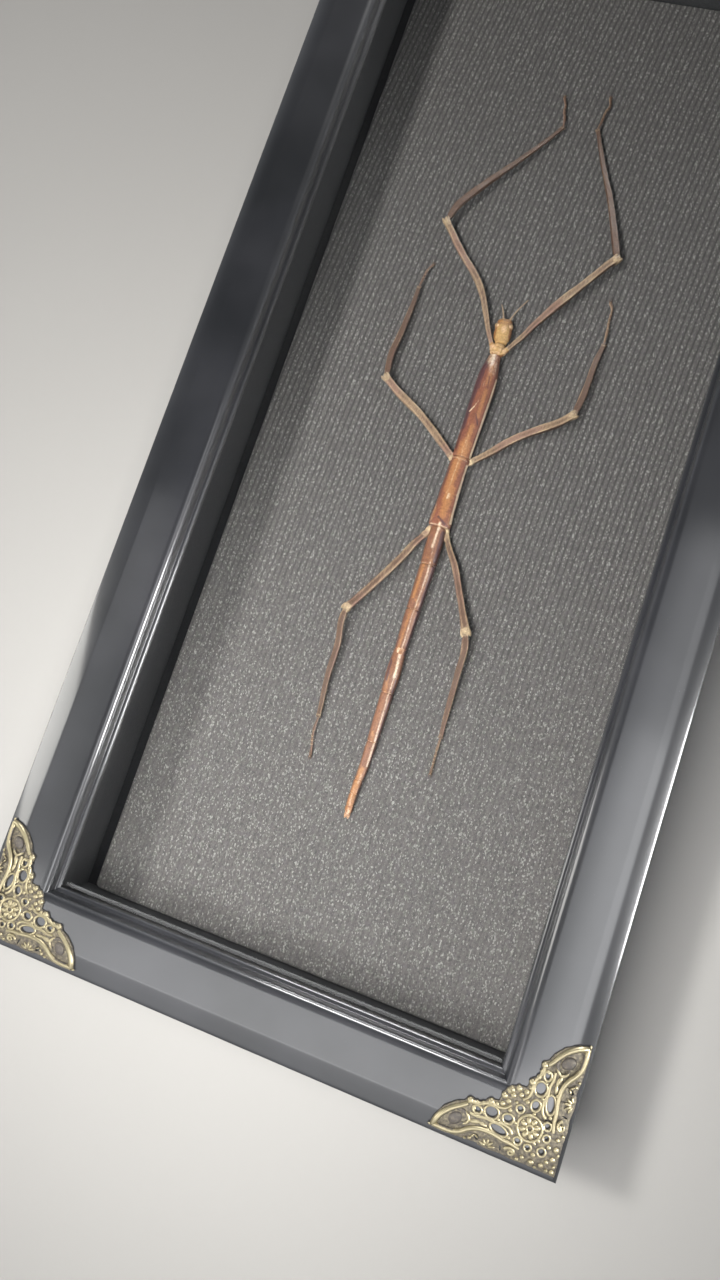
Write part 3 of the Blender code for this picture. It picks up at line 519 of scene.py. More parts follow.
# %% Profile of the moulding
WINDOW_WIDTH, WINDOW_LENGTH = 190, 478
RAIL_FACE, CASE_DEPTH = 26.5, 55
LIP_ROUND, EDGE_ROUND, FOOT_ROUND = 3.2, 0.7, 0.8
SLOPE_WIDTH, SLOPE_START, SLOPE_MORE, SLOPE_LEAN = 9, 0.07, 0.035, 21
LIP_STEP, LIP_STEP_HEIGHT, STEP_ROUND, STEP_CORNER = 1.8, 2.6, 1.4, 0.25
RABBET, RABBET_ROUND, GAP = 9, 0.4, 0.3
GLASS_TOP, FABRIC_TOP = 46, 10
BACK_BOARD_BOTTOM = 1.7


def arc(centre, radius, start, end, steps):
    """Points on an arc, angles in degrees, both ends included."""
    turns = np.radians(np.linspace(start, end, steps + 1))
    return [(centre[0] + radius * math.cos(t), centre[1] + radius * math.sin(t)) for t in turns]


def slope_drop(from_edge):
    """How far the face has sunk near the outer edge: a slope that steepens outwards."""
    run = np.clip(SLOPE_WIDTH - np.asarray(from_edge), 0, SLOPE_WIDTH)
    return SLOPE_START * run + SLOPE_MORE * run ** 2 / 2


def front_of_rail():
    """The rounded lip, the flat face and the shoulder, from the window outwards."""
    points = arc((LIP_ROUND, CASE_DEPTH - LIP_ROUND), LIP_ROUND, 180, 90, 10)
    # two more points close to the ends of the flat face keep its shading flat
    points += [(LIP_ROUND + 0.35, CASE_DEPTH), (RAIL_FACE - SLOPE_WIDTH - 0.12, CASE_DEPTH)]
    meets = EDGE_ROUND * (1 - math.sin(math.radians(SLOPE_LEAN)))
    points += [(RAIL_FACE - d, CASE_DEPTH - float(slope_drop(d)))
               for d in np.linspace(SLOPE_WIDTH, meets, 16)]
    edge_z = points[-1][1] - EDGE_ROUND * math.cos(math.radians(SLOPE_LEAN))
    return points + arc((RAIL_FACE - EDGE_ROUND, edge_z), EDGE_ROUND, 90 - SLOPE_LEAN, 0, 9)[1:]


def back_of_rail():
    """The foot, the rabbet that holds the glass, and the small step under the lip."""
    lip_bottom = GLASS_TOP + GAP
    step_top = lip_bottom + LIP_STEP_HEIGHT
    step_edge = STEP_CORNER - LIP_STEP
    points = arc((RAIL_FACE - FOOT_ROUND, FOOT_ROUND), FOOT_ROUND, 0, -90, 4)
    points += arc((RABBET + RABBET_ROUND, RABBET_ROUND), RABBET_ROUND, -90, -180, 3)
    points += [(RABBET, lip_bottom), (step_edge, lip_bottom)]
    points += arc((step_edge, lip_bottom + STEP_CORNER), STEP_CORNER, -90, -180, 3)
    points += arc((STEP_ROUND - LIP_STEP, step_top - STEP_ROUND), STEP_ROUND, 180, 90, 9)
    return points + arc((-GAP, step_top + GAP), GAP, -90, 0, 4)


profile = front_of_rail() + back_of_rail()
print("points round the profile, (u, z) with u outwards from the window:", len(profile))


# %% Four mitred rails
HALF_WIDTH, HALF_LENGTH = WINDOW_WIDTH / 2, WINDOW_LENGTH / 2
MITRE_HAIR_LINE = 0.05


def mitred_rail(name, turn, inner, half_run, stations=28):
    rings = []
    for share in np.linspace(-1, 1, stations):
        for u, z in profile:
            rings.append((inner + u, share * (half_run + u - MITRE_HAIR_LINE), z))
    x, y, z = np.array(rings).T
    points = np.column_stack([*turned(x, y, turn), z])
    piece = add_mesh(name, points, ring_faces(stations, len(profile)))
    return dress(turn_outwards(piece, crease=32), lacquer)


for side, turn, inner, half_run in (("right", 0, HALF_WIDTH, HALF_LENGTH),
                                    ("top", 90, HALF_LENGTH, HALF_WIDTH),
                                    ("left", 180, HALF_WIDTH, HALF_LENGTH),
                                    ("bottom", 270, HALF_LENGTH, HALF_WIDTH)):
    rail = mitred_rail("moulding_" + side, turn, inner, half_run)
    settle(rail, "satin_black", "rail_" + side)
    print("rail:", side, "points:", len(rail.data.vertices))


# %% [markdown]
# ## The cloth-covered panel
# The insect lies on a card covered with ribbed grey knit.  The ribs run along the case, 2.6 mm
# apart, and each rib is a column of small stitches.  A picture of a weave would look flat in low
# light, so the ribs and stitches are real height in a fine grid, and the grid bends over the edge
# of the card.  A few glittering threads are knitted in; they are made as their own tiny pieces.

# %% Shape of the knit
RIB, STITCH = 2.6, 1.9
KNIT_DEPTH, RIB_RISE, LOOP_RISE, SLACK_RISE = 0.22, 0.14, 0.05, 0.04
WAVES = (
    (1, 0.31, 0), (-0.47, 0.93, 1.7), (0.71, -0.83, 4.1), (1.9, 1.1, 2.3), (-1.3, 2.1, 5.2),
    (2.9, -1.7, 0.9))


def wander(x, y, size, seed=0):
    """Smooth noise from sums of sines, quick to work out for a whole grid at once."""
    total = np.zeros_like(x)
    for i, (a, b, c) in enumerate(WAVES):
        phase = c * 1.3 + seed * (1 + 0.37 * i)
        total += np.sin((a * x + b * y) * 2 * math.pi / size + phase) / (1 + 0.45 * i)
    return total / 3


def rib_bend(x, y):
    """How far a rib has strayed to the right: the cloth was pulled askew when it was glued down."""
    pulled = 0.035 * y + 0.00014 * np.clip(y + 50.0, 0.0, None) ** 2
    return pulled + 0.22 * wander(x, y, 61, 0.4)


def knit_height(x, y):
    """Height of the knit above its lowest place, in millimetres; the lower end is more worn."""
    worn = smooth_step((20 - y) / 190)
    across = (x - rib_bend(x, y)) / RIB
    rib = np.abs(np.cos(math.pi * across)) ** 0.75
    column = np.floor(across + 0.5)
    lean = np.abs(across - column) * 1.1
    loops = 0.5 + 0.5 * np.cos(2 * math.pi * (y / STITCH + lean + 0.37 * np.sin(column * 12.9898)))
    slack = 0.5 + 0.5 * wander(x, y, 7.3, 2)
    return (rib + (0.9 - rib) * 0.6 * worn) * (RIB_RISE + LOOP_RISE * loops + SLACK_RISE * slack)


print("knit rises up to", RIB_RISE + LOOP_RISE + SLACK_RISE, "mm")


# %% Grid of the cloth
PANEL_LOW = Vector(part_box("fabric_panel")[0]) * 1000
PANEL_HIGH = Vector(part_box("fabric_panel")[1]) * 1000
PANEL_CORNER, CLOTH_INSET, EDGE_DROP, EDGE_REACH = 3, 0.1, 1.5, 1.6


def cloth_grid(columns, rows):
    """Points of the cloth: rounded at the corners, bent down along the edge, ribbed between."""
    u, v = np.meshgrid(np.linspace(-1, 1, columns), np.linspace(-1, 1, rows))
    places, halves, near_corner, shares = [], [], [], (u, v)
    for low, high, share in zip(PANEL_LOW, PANEL_HIGH, shares):
        low, high = low + CLOTH_INSET, high - CLOTH_INSET
        half = (high - low) / 2
        offset = share * (high - low) / 2
        places.append((low + high) / 2 + offset)
        halves.append(half)
        near_corner.append(np.clip((np.abs(offset) - (half - PANEL_CORNER)) / PANEL_CORNER, 0, 1))
    for axis in (0, 1):
        pull = near_corner[axis] * (1 - np.sqrt(1 - near_corner[1 - axis] ** 2 / 2))
        places[axis] = places[axis] - np.sign(shares[axis]) * pull * PANEL_CORNER
    inward = np.minimum(*((1 - np.abs(share)) * half for share, half in zip(shares, halves)))
    steep = 1 - np.clip(inward / EDGE_REACH, 0, 1)
    knitted = knit_height(*places)
    z = FABRIC_TOP - KNIT_DEPTH + knitted - EDGE_DROP * (1 - np.sqrt(1 - steep ** 2))
    return np.stack([*places, z], -1).reshape(-1, 3), knitted


print("cloth panel in mm:", [round(b - a, 1) for a, b in zip(PANEL_LOW, PANEL_HIGH)])


# %% Cloth over the card
def make_cloth(columns, rows):
    points, knitted = cloth_grid(columns, rows)
    index = np.arange(columns * rows).reshape(rows, columns)
    corners = [index[:-1, :-1], index[:-1, 1:], index[1:, 1:], index[1:, :-1]]
    faces = np.stack(corners, -1).reshape(-1, 4).tolist()
    rim = np.concatenate([index[0, :-1], index[:-1, -1], index[-1, :0:-1], index[:0:-1, 0]])
    skirt = points[rim].copy()
    skirt[:, 2] = PANEL_LOW.z
    below = len(points) + np.arange(len(rim))
    walls = np.stack([rim, below, np.roll(below, -1), np.roll(rim, -1)], -1)
    faces += walls.tolist() + [tuple(below[::-1].tolist())]
    piece = add_mesh("ribbed_cloth", np.vstack([points, skirt]), faces)
    rib_share = knitted.ravel() / (RIB_RISE + LOOP_RISE + SLACK_RISE)
    paint(piece, "rib", np.concatenate([rib_share, np.full(len(rim), 0.4)]))
    piece.data.set_sharp_from_angle(angle=math.radians(75))
    return piece


cloth = make_cloth(521, 441)
print("cloth points:", len(cloth.data.vertices))


# %% Knit finish
def make_knit():
    """Grey yarn in pale and dark patches and faint tints; the pale patches are partly painted
    glints.
    Paler crests are a painted highlight and dark valleys between ribs are painted shade.
    """
    made, recipe = new_finish("grey_ribbed_knit", Specular_IOR_Level=0.12,
                              Sheen_Weight=0.1, Sheen_Roughness=0.5)
    rib = recipe.painted("rib")
    yarn = recipe.group(fibres, Dark_Colour=(0.104, 0.096, 0.097),
                        Light_Colour=(0.16, 0.149, 0.146), Width=0.3, Tangle=0.5)
    lots_and_glints = recipe.node("SeparateColor")
    recipe.feed(lots_and_glints.inputs[0], recipe.cells(recipe.coordinates((1, 0.62, 1)), 0.48)["Color"])
    hue = recipe.grain(recipe.coordinates(), 3.4, 2)
    shade = yarn["Colour"]
    for guide, start, end, most, tint in (
            # pale flecks: partly paler yarn, partly painted glints of the bright thread
            (lots_and_glints.outputs[0], 0.74, 0.99, 1, (0.318, 0.31, 0.3)),
            (lots_and_glints.outputs[1], 0.62, 0.95, 0.75, (0.078, 0.076, 0.077)),
            (hue, 0.52, 0.75, 0.26, (0.178, 0.16, 0.184)),
            (hue, 0.48, 0.25, 0.26, (0.165, 0.175, 0.15)),
            # paler rib crests: painted highlight
            (rib, 0.72, 1, 0.2, (0.29, 0.272, 0.268))):
        shade = recipe.mix(recipe.spread(guide, start, end, 0, most), shade, tint)
    # dark valleys between the ribs: painted shade
    colour = recipe.mix(recipe.spread(rib, 0.12, 0.78), (0.068, 0.065, 0.065), shade)
    recipe.surface(colour, recipe.scaled(yarn["Height"], 0.2, 0.68), yarn["Height"], 0.1)
    return made


settle(dress(cloth, make_knit()), "fabric", "fabric_panel")
print("knit finish ready")


# %% Glittering threads
GLITTER = 28000
THREAD_LENGTHS, THREAD_WIDTHS = (0.08, 0.17), (0.055, 0.1)
THREAD_CORNERS = (
    (-1, -0.3, -0.01), (0.2, -1, 0), (1, 0.3, -0.01), (-0.2, 1, 0), (0, 0, 0.05), (0, 0, -0.05))


def make_glitter(count, seed=11):
    """Short flat bits of bright thread, each lying on the cloth at its own tilt."""
    draw = np.random.default_rng(seed)
    points, faces = [], []
    x = draw.uniform(PANEL_LOW.x + 3, PANEL_HIGH.x - 3, count)
    y = draw.uniform(PANEL_LOW.y + 3, PANEL_HIGH.y - 3, count)
    x = (np.round(x / RIB) + draw.normal(0, 0.26, count)) * RIB + rib_bend(x, y) % RIB
    x = np.clip(x, PANEL_LOW.x + 1.5, PANEL_HIGH.x - 1.5)
    z = FABRIC_TOP - KNIT_DEPTH + knit_height(x, y) + 0.015
    length, width = draw.uniform(*THREAD_LENGTHS, count), draw.uniform(*THREAD_WIDTHS, count)
    heading, roll, pitch = (draw.normal(0, swing, count) for swing in (0.9, 0.5, 0.28))
    for i in range(count):
        turn = (Matrix.Rotation(-heading[i], 3, "Z") @ Matrix.Rotation(pitch[i], 3, "X")
                @ Matrix.Rotation(roll[i], 3, "Y"))
        middle, start = Vector((x[i], y[i], z[i])), len(points)
        for along, across, up in THREAD_CORNERS:
            points.append(middle + turn @ Vector((across * width[i], along * length[i], up)))
        for a in range(4):
            b = (a + 1) % 4
            faces += [(start + b, start + a, start + 4), (start + a, start + b, start + 5)]
    return add_mesh("glitter_threads", points, faces, smooth=False)


def make_thread():
    made, recipe = new_finish("bright_thread", Metallic=0.3)
    tint = recipe.grain(recipe.coordinates(), 5, 2)
    recipe.surface(recipe.mix(recipe.spread(tint, 0.35, 0.65), (0.35, 0.35, 0.36),
                              (0.42, 0.39, 0.35)),
                   recipe.spread(tint, 0.3, 0.7, 0.42, 0.6))
    return made


settle(dress(make_glitter(GLITTER), make_thread()), "fabric")
print("glittering threads:", GLITTER)


# %% [markdown]
# ## Curved wires and beads
# The corner ornaments are thin castings: a pierced plate with raised wires, beads and petals on
# it. They could be carved from one block, but a caster's pattern is built up from wires and drops,
# and the same way works here.  `smooth_path` draws a flowing line through a few chosen places,
# `wire` sweeps a round section along it, and `drop` makes a smooth bead or petal.

# %% Paths and wires
def smooth_path(places, count, closed=False):
    """A Catmull-Rom curve through the places, sampled evenly by step."""
    places = np.asarray(places, float)
    if closed:
        padded = np.vstack([places[-1], places, places[0], places[1]])
    else:
        padded = np.vstack([2 * places[0] - places[1], places, 2 * places[-1] - places[-2]])
    spans = len(padded) - 3
    made = []
    for share in np.linspace(0, spans, count, endpoint=not closed):
        i = min(int(share), spans - 1)
        t = share - i
        a, b, c, d = padded[i:i + 4]
        made.append(0.5 * (2 * b + (c - a) * t + (2 * a - 5 * b + 4 * c - d) * t ** 2
                           + (3 * b - a - 3 * c + d) * t ** 3))
    return np.array(made)


def wire(path, radii, sides=10, closed=False, height=0, flat=1):
    """A shell swept along a path that lies flat; radii and height may change along it."""
    path = np.asarray(path, float)
    radii = np.broadcast_to(np.asarray(radii, float), len(path))
    heights = np.broadcast_to(np.asarray(height, float), len(path))
    ahead = np.roll(path, -1, 0) - np.roll(path, 1, 0)
    if not closed:
        ahead[0], ahead[-1] = path[1] - path[0], path[-1] - path[-2]
    ahead /= np.linalg.norm(ahead, axis=1)[:, None]
    right = np.stack([ahead[:, 1], -ahead[:, 0]], -1)
    points = []
    for place, aside, radius, lift in zip(path, right, radii, heights):
        for k in range(sides):
            t = 2 * math.pi * k / sides
            x, y = place + aside * radius * math.cos(t)
            points.append((x, y, lift + radius * flat * math.sin(t)))
    faces = ring_faces(len(path), sides, closed_ends=not closed)
    if closed:
        last = (len(path) - 1) * sides
        faces += [(last + k, last + (k + 1) % sides, (k + 1) % sides, k) for k in range(sides)]
    return np.array(points), faces


print("points on a closed path:", len(smooth_path(((0, 0), (1, 0), (0, 1)), 12, closed=True)))


# %% Drops, ellipses and pierced plates
def drop(centre, along, across, height, lean=0, rings=6, sides=14, point=0):
    """A bead or petal: half above the plate, half sunk in it; point sharpens one end."""
    points = []
    for i in range(1, rings):
        lift = math.pi * i / rings
        for k in range(sides):
            t = 2 * math.pi * k / sides
            sharp = point * max(0, math.cos(t))
            narrow = 1.0 - point * max(0.0, math.cos(t)) ** 2 * 0.5
            x, y = turned(along * math.cos(t) * math.sin(lift) * (1 + 0.25 * sharp),
                          across * math.sin(t) * math.sin(lift) * narrow, lean)
            points.append((centre[0] + x, centre[1] + y, centre[2] + height * math.cos(lift)))
    return np.array(points), ring_faces(rings - 1, sides)


def ellipse(centre, radius_along, radius_away, lean=0, count=24):
    t = np.linspace(0, 2 * math.pi, count, endpoint=False)
    x, y = turned(radius_along * np.cos(t), radius_away * np.sin(t), lean)
    return np.stack([centre[0] + x, centre[1] + y], -1)


def flat_plate(loops, low, high, soften):
    """A plate with holes from closed outlines, its edges softened; gives a shell in millimetres."""
    data = bpy.data.curves.new("outline", "CURVE")
    data.dimensions, data.fill_mode = "2D", "BOTH"
    data.extrude = mm((high - low) / 2 - soften)
    data.bevel_depth, data.bevel_resolution = mm(soften), 2
    for loop in loops:
        spline = data.splines.new("POLY")
        spline.points.add(len(loop) - 1)
        for point, (x, y) in zip(spline.points, loop):
            point.co = (mm(x), mm(y), 0, 1)
        spline.use_cyclic_u = True
    holder = place_object("outline_holder", data)
    graph = bpy.context.evaluated_depsgraph_get()
    mesh = bpy.data.meshes.new_from_object(holder.evaluated_get(graph))
    bpy.data.objects.remove(holder, do_unlink=True)
    shape = bmesh.new()
    shape.from_mesh(mesh)
    bmesh.ops.remove_doubles(shape, verts=shape.verts, dist=mm(0.004))
    points = np.array([vertex.co for vertex in shape.verts]) * 1000
    shape.verts.ensure_lookup_table()
    faces = [tuple(vertex.index for vertex in face.verts) for face in shape.faces]
    shape.free()
    points[:, 2] += (low + high) / 2
    return points, faces


print("points of one bead:", len(drop((0, 0, 0), 1, 1, 1)[0]))


# %% [markdown]
# ## Corner ornaments
# A gilt corner with a flame at the end of each leg, a rosette near its heart, a bunch of berries
# on the inner edge, scrolls and shells along the outer edges, and small openings between them.  It
# is the same on both sides of its diagonal, so half of it is listed and the other half is
# mirrored. Positions are (along a leg, away from that leg's edge) from the ornament's own corner.

# %% The pattern of one corner
ORNAMENT_LEG = 46.2
ORNAMENT_PLACES = {"bottom_right": (1, -1, 1.3, 2.1), "bottom_left": (-1, -1, 1.7, 2.2),
                   "top_right": (1, 1, 1.6, 1.8), "top_left": (-1, 1, 1.5, 1.9)}
PLATE_TOP = 0.72
OPENINGS = (
    (31.9, 12.1, 1.3, 0.95, 10), (26.9, 13.1, 2.2, 1.85, 0), (20.9, 13.2, 1.6, 1.3, -10),
    (23, 8.4, 3, 1.35, 12), (15.8, 7.4, 1, 1, 0), (11.9, 6.6, 0.85, 0.85, 0),
    (29.4, 2.9, 0.9, 1.3, -35), (20.6, 2.5, 0.45, 1.25, -15))
MIDDLE_OPENINGS = ((17.9, 17.9, 1, 1, 0), (7, 7, 1.1, 1.1, 0))
FLAME_BACK = ((45.3, 1), (44.9, 2.8), (43.8, 5.4), (41.9, 8), (39.6, 10), (37.2, 11.6),
              (35.6, 12.9))
FLAME_FRONT = (
    (45.3, 1), (43.2, 1.1), (40.4, 1.1), (37.7, 1.5), (35.3, 2.7), (33.3, 4.4), (31, 5.7),
    (28.2, 6.4), (24.6, 6.4), (20.8, 5.8), (17.6, 5.6), (14.6, 5))
CURL = ((38.6, 10), (36.4, 9.9), (34.5, 9), (33.7, 7.5), (34.4, 6.1), (35.8, 5.5))
FLAME_FLOOR = (39.2, 5.9, 5.6, 3.5, 128)
INNER_BAR = ((34, 10), (31, 9.9), (28.4, 10.4), (25.7, 10.3), (22.6, 10.9), (19.6, 10.4),
             (18.2, 8.9))
OUTER_BAR = ((35, 13.9), (32, 14.2), (29.6, 15.3), (27, 15.9), (24.4, 15.8), (22.6, 16.5),
             (21.2, 18))
BEADS = (
    (35.1, 14.1, 1.05), (32.6, 14.6, 0.55), (30.5, 14.9, 0.75), (28, 16.5, 1.05), (26, 16.6, 0.6),
    (24.2, 17.4, 0.85), (24.3, 20.2, 1), (23, 22.5, 1), (22.5, 18.9, 0.8), (21.1, 16.2, 0.7),
    (24, 11.6, 0.55), (29.3, 11.9, 0.6), (18.2, 12.9, 0.55), (26.6, 7.2, 0.55), (18.9, 7.3, 0.6),
    (9.3, 2.2, 0.95), (5.8, 2.5, 0.85), (9.4, 5, 0.75), (12.6, 2.6, 0.7), (3.6, 1.5, 0.55),
    (7.6, 1, 0.5), (14.2, 1.2, 0.6), (31.6, 1.6, 0.6), (33.2, 0.9, 0.5))
MIDDLE_BEADS = ((21.4, 21.4, 1.05), (1.7, 1.7, 0.95), (4.4, 4.4, 0.8), (19.6, 19.6, 0.6))
WIRES = ((FLAME_BACK, 8, 32, (0.9, 1.15, 0.8), 0.82),
         (FLAME_FRONT, 8, 52, (0.9, 1.1, 0.68), 0.82),
         (CURL, 0, 30, (0.7, 0.7, 0.42), 0.8), (INNER_BAR, 0, 44, (0.52, 0.52, 0.6), 0.75),
         (OUTER_BAR, 0, 40, (0.66, 0.66, 0.55), 0.78))
LEAVES = (
    (31.6, 7.9, 2.2, 0.8, 165), (28.6, 8.1, 1.7, 0.7, 8), (33.1, 12.2, 0.9, 0.6, 60),
    (16.4, 3, 1.4, 0.7, 20), (10.3, 9, 1.1, 0.6, 35))
ROSETTE, ROSETTE_RADIUS = (13, 13), 4.35


HALF_OUTLINE = (
    (0.3, 0.3), (11.5, 0.6), (16, 0.2), (20, 0.7), (24.5, 0.2), (28, 0.4), (28.6, 1), (30.6, 0.8),
    (33, 0.5), (37, 0.2), (46.2, 0.3), (45.5, 4.3), (43.2, 8.8), (39.6, 11.9), (36.8, 13.1),
    (36.1, 14.6), (35, 15.2), (33.6, 14.9), (32.4, 14.5), (30.2, 15.3), (29.2, 16.9), (28, 17.6),
    (26.9, 17.3), (25.4, 17.6), (25.2, 19.3), (25.4, 20.6), (24.4, 21.5), (24.1, 22.9))
print("beads, leaves and wires on each half:", len(BEADS), len(LEAVES), len(WIRES))


# %% Small parts of the pattern
def pierced_plate():
    loops = [[*HALF_OUTLINE, *((b, a) for a, b in HALF_OUTLINE[:0:-1])]]
    for along, away, r_along, r_away, lean in OPENINGS:
        hole = ellipse((along, away), r_along, r_away, lean, 18)
        loops += [hole, hole[::-1, ::-1]]
    for along, away, r_along, r_away, lean in MIDDLE_OPENINGS:
        loops.append(ellipse((along, away), r_along, r_away, lean, 18))
    return flat_plate(loops, 0, PLATE_TOP, 0.12)


def swap(shell):
    """Mirror a shell in the diagonal of the corner."""
    points, faces = shell
    return points[:, (1, 0, 2)], faces


def spray(centre, reach, angles, size, narrow, height, lift, point):
    """Drops that point away from a centre: the fingers of a shell or the petals of a rosette."""
    shells = []
    for angle in angles:
        t = math.radians(angle)
        x, y = centre[0] + reach * math.cos(t), centre[1] + reach * math.sin(t)
        middle = (x, y, PLATE_TOP + lift)
        shells.append(drop(middle, size, size * narrow, height, angle, point=point))
    return shells


def fan(centre, reach, start, end, lobes, size):
    return spray(centre, reach, np.linspace(start, end, lobes), size, 0.42, 0.62, -0.05, 0.6)


def ring(centre, r_along, r_away, thick, lift, lean=0, count=24):
    outline = ellipse(centre, r_along, r_away, lean, count)
    return wire(outline, thick, 8, True, PLATE_TOP + lift)


def tapered_wire(places, rising, falling, radii, height):
    """A wire that swells over its first steps and then thins out."""
    start, most, end = radii
    steps = [np.linspace(start, most, rising), np.linspace(most, end, falling)]
    return wire(smooth_path(places, rising + falling), np.concatenate(steps), height=height)


print("fingers in a shell:", len(fan((25.2, 0.9), 1.75, 20, 160, 5, 1.35)))


# %% One whole corner
def half_pattern():
    """Everything that the diagonal mirrors."""
    half = [tapered_wire(*plan) for plan in WIRES[:3]]
    half.append(drop((ORNAMENT_LEG, 0.6, PLATE_TOP), 0.75, 0.42, 0.5, 15))
    half += [tapered_wire(*plan) for plan in WIRES[3:]]
    half.append(drop((38.4, 6.3, PLATE_TOP - 0.12), 2.7, 2.1, 1, 128, 9, 24, 0.3))
    turns = np.linspace(0.2, 2.35 * math.pi, 34)
    scroll = np.stack([17.1 + (2.15 - 0.27 * turns) * np.cos(turns),
                       2.55 + (1.95 - 0.25 * turns) * np.sin(turns)], -1)
    half.append(wire(scroll, np.linspace(0.58, 0.36, 34), height=0.8))
    half += fan((25.2, 0.9), 1.75, 20, 160, 5, 1.35) + fan((30.4, 3.7), 1, -150, -60, 2, 0.9)
    for along, away, radius in BEADS:
        half.append(drop((along, away, PLATE_TOP + 0.05), radius * 1.15, radius * 1.15,
                         0.42 + 0.42 * radius))
    for along, away, length, width, lean in LEAVES:
        half.append(drop((along, away, PLATE_TOP - 0.02), length, width, 0.6, lean, point=0.8))
    for along, away, r_along, r_away, lean in OPENINGS[:6]:
        half.append(ring((along, away), r_along + 0.4, r_away + 0.4, 0.44, 0.02, lean))
    return half


def corner_pattern():
    half = half_pattern()
    shells = [pierced_plate()] + half + [swap(shell) for shell in half]
    for along, away, radius in MIDDLE_BEADS:
        shells.append(drop((along, away, PLATE_TOP + 0.05), radius, radius, 0.45 + 0.42 * radius))
    for along, away, r_along, r_away, lean in MIDDLE_OPENINGS:
        shells.append(ring((along, away), r_along + 0.4, r_away + 0.4, 0.4, 0.04))
    shells.append(ring(ROSETTE, ROSETTE_RADIUS, ROSETTE_RADIUS, 0.52, 0.05, count=40))
    shells.append(ring(ROSETTE, 1.15, 1.15, 0.4, 0.4, count=20))
    petals = np.arange(22.5, 360, 45)
    return shells + spray(ROSETTE, 2.55, petals, 1.45, 0.98 / 1.45, 0.72, 0.02, -0.3)


pattern = corner_pattern()
print("shells in one ornament:", len(pattern))


# %% Gilt finish
def make_gilt():
    made, recipe = new_finish("pale_antique_gilt")
    raised = recipe.painted("raised")
    rubbed = recipe.group(metal, Rubbed_Colour=(0.44, 0.385, 0.248),
                          Low_Colour=(0.092, 0.082, 0.075), Raised=raised, Tarnish_Size=1.1)
    recipe.surface(rubbed["Colour"], rubbed["Roughness"], rubbed["Height"], 0.05)
    recipe.feed(recipe.shader["Metallic"], recipe.spread(raised, 0, 0.5, 0.25, 0.85))
    return made


def raised_share(places):
    """1 on top of the wires and beads, less on the plate, least in the floor of each flame."""
    along, away, long_way, short_way, lean = FLAME_FLOOR
    raised = 0.36 + 0.64 * np.clip((places[:, 2] * 1000 - PLATE_TOP) / 0.45, 0, 1)
    for first, second in ((0, 1), (1, 0)):
        a, b = turned(places[:, first] * 1000 - along, places[:, second] * 1000 - away, -lean)
        inside = (a / long_way) ** 2 + (b / short_way) ** 2
        raised = np.where((inside < 1) & (places[:, 2] * 1000 < 1.62), raised * 0.22, raised)
    return raised


gilt = make_gilt()
print("finish:", gilt.name)


# %% The four ornaments
for name, (sign_x, sign_y, inset_x, inset_y) in ORNAMENT_PLACES.items():
    piece = join_shells("gilt_corner_" + name, pattern)
    places = np.empty(len(piece.data.vertices) * 3)
    piece.data.vertices.foreach_get("co", places)
    places = places.reshape(-1, 3)
    paint(piece, "raised", raised_share(places))
    from_edge = np.minimum(places[:, 0], places[:, 1]) * 1000 + min(inset_x, inset_y)
    places[:, 2] -= mm(slope_drop(from_edge))
    places[:, 0] = mm(sign_x * (HALF_WIDTH + RAIL_FACE - inset_x)) - sign_x * places[:, 0]
    places[:, 1] = mm(sign_y * (HALF_LENGTH + RAIL_FACE - inset_y)) - sign_y * places[:, 1]
    places[:, 2] += mm(CASE_DEPTH + 0.04)
    piece.data.vertices.foreach_set("co", places.ravel())
    settle(dress(turn_outwards(piece, crease=50), gilt), "antique_brass", "ornament_" + name)
print("ornaments made:", len(ORNAMENT_PLACES))


# %% [markdown]
# ## Hanger on the back
# A sawtooth hanger is a strip of plated steel with teeth along its lower edge, held by two small
# screws.  It sits on the back board, thin enough to stay inside the depth of the frame.

# %% Sawtooth hanger and its screws
HANGER_LENGTH, HANGER_WIDTH, HANGER_THICKNESS = 46, 11, 0.8
HANGER_TOP, HANGER_CORNER, SCREW_INSET = BACK_BOARD_BOTTOM - 0.02, 1.5, 4.5


def make_plated():
    made, recipe = new_finish("bright_zinc", Metallic=1)
    rubbed = recipe.group(metal, Rubbed_Colour=(0.62, 0.63, 0.65), Low_Colour=(0.33, 0.33, 0.34),
                          Raised=0.75, Tarnish_Size=2.6)
    recipe.surface(rubbed["Colour"], rubbed["Roughness"], rubbed["Height"], 0.02)
    return made


def hanger_outline(teeth=9):
    right, top = HANGER_LENGTH / 2 - HANGER_CORNER, HANGER_WIDTH / 2 - HANGER_CORNER
    toothed, bottom = HANGER_LENGTH * 0.3, -HANGER_WIDTH / 2
    tooth = HANGER_LENGTH * 0.6 / teeth
    outline = []
    for start, centre in ((0, (right, top)), (90, (-right, top)), (180, (-right, -top))):
        outline += arc(centre, HANGER_CORNER, start, start + 90, 5)
    for i in range(teeth):
        x = i * tooth - toothed
        outline += [(x, bottom), (x + tooth * 0.35, bottom + 1.9), (x + tooth * 0.65, bottom + 1.9)]
    return outline + [(toothed, bottom)] + arc((right, -top), HANGER_CORNER, 270, 360, 5)


def hanger_shells():
    screws = [(side * (HANGER_LENGTH / 2 - SCREW_INSET), 1.5) for side in (1, -1)]
    loops = [hanger_outline()] + [ellipse(screw, 1.5, 1.5) for screw in screws]
    shells = [flat_plate(loops, HANGER_TOP - HANGER_THICKNESS, HANGER_TOP, 0.12)]
    for x, y in screws:
        head = HANGER_TOP - HANGER_THICKNESS
        shells.append(drop((x, y, head), 2.2, 2.2, 0.55, rings=10, sides=28))
        shells += [drop((x, y, head - 0.52), 1.15, 0.17, 0.09, lean, 4, 12) for lean in (20, 110)]
    return shells


hanger = join_shells("sawtooth_hanger_plated", hanger_shells())
hanger.data.transform(Matrix.Translation((0, mm(HALF_LENGTH - 12), 0)))
settle(dress(turn_outwards(hanger, crease=40), make_plated()), "steel", "sawtooth_hanger")
print("hanger points:", len(hanger.data.vertices))


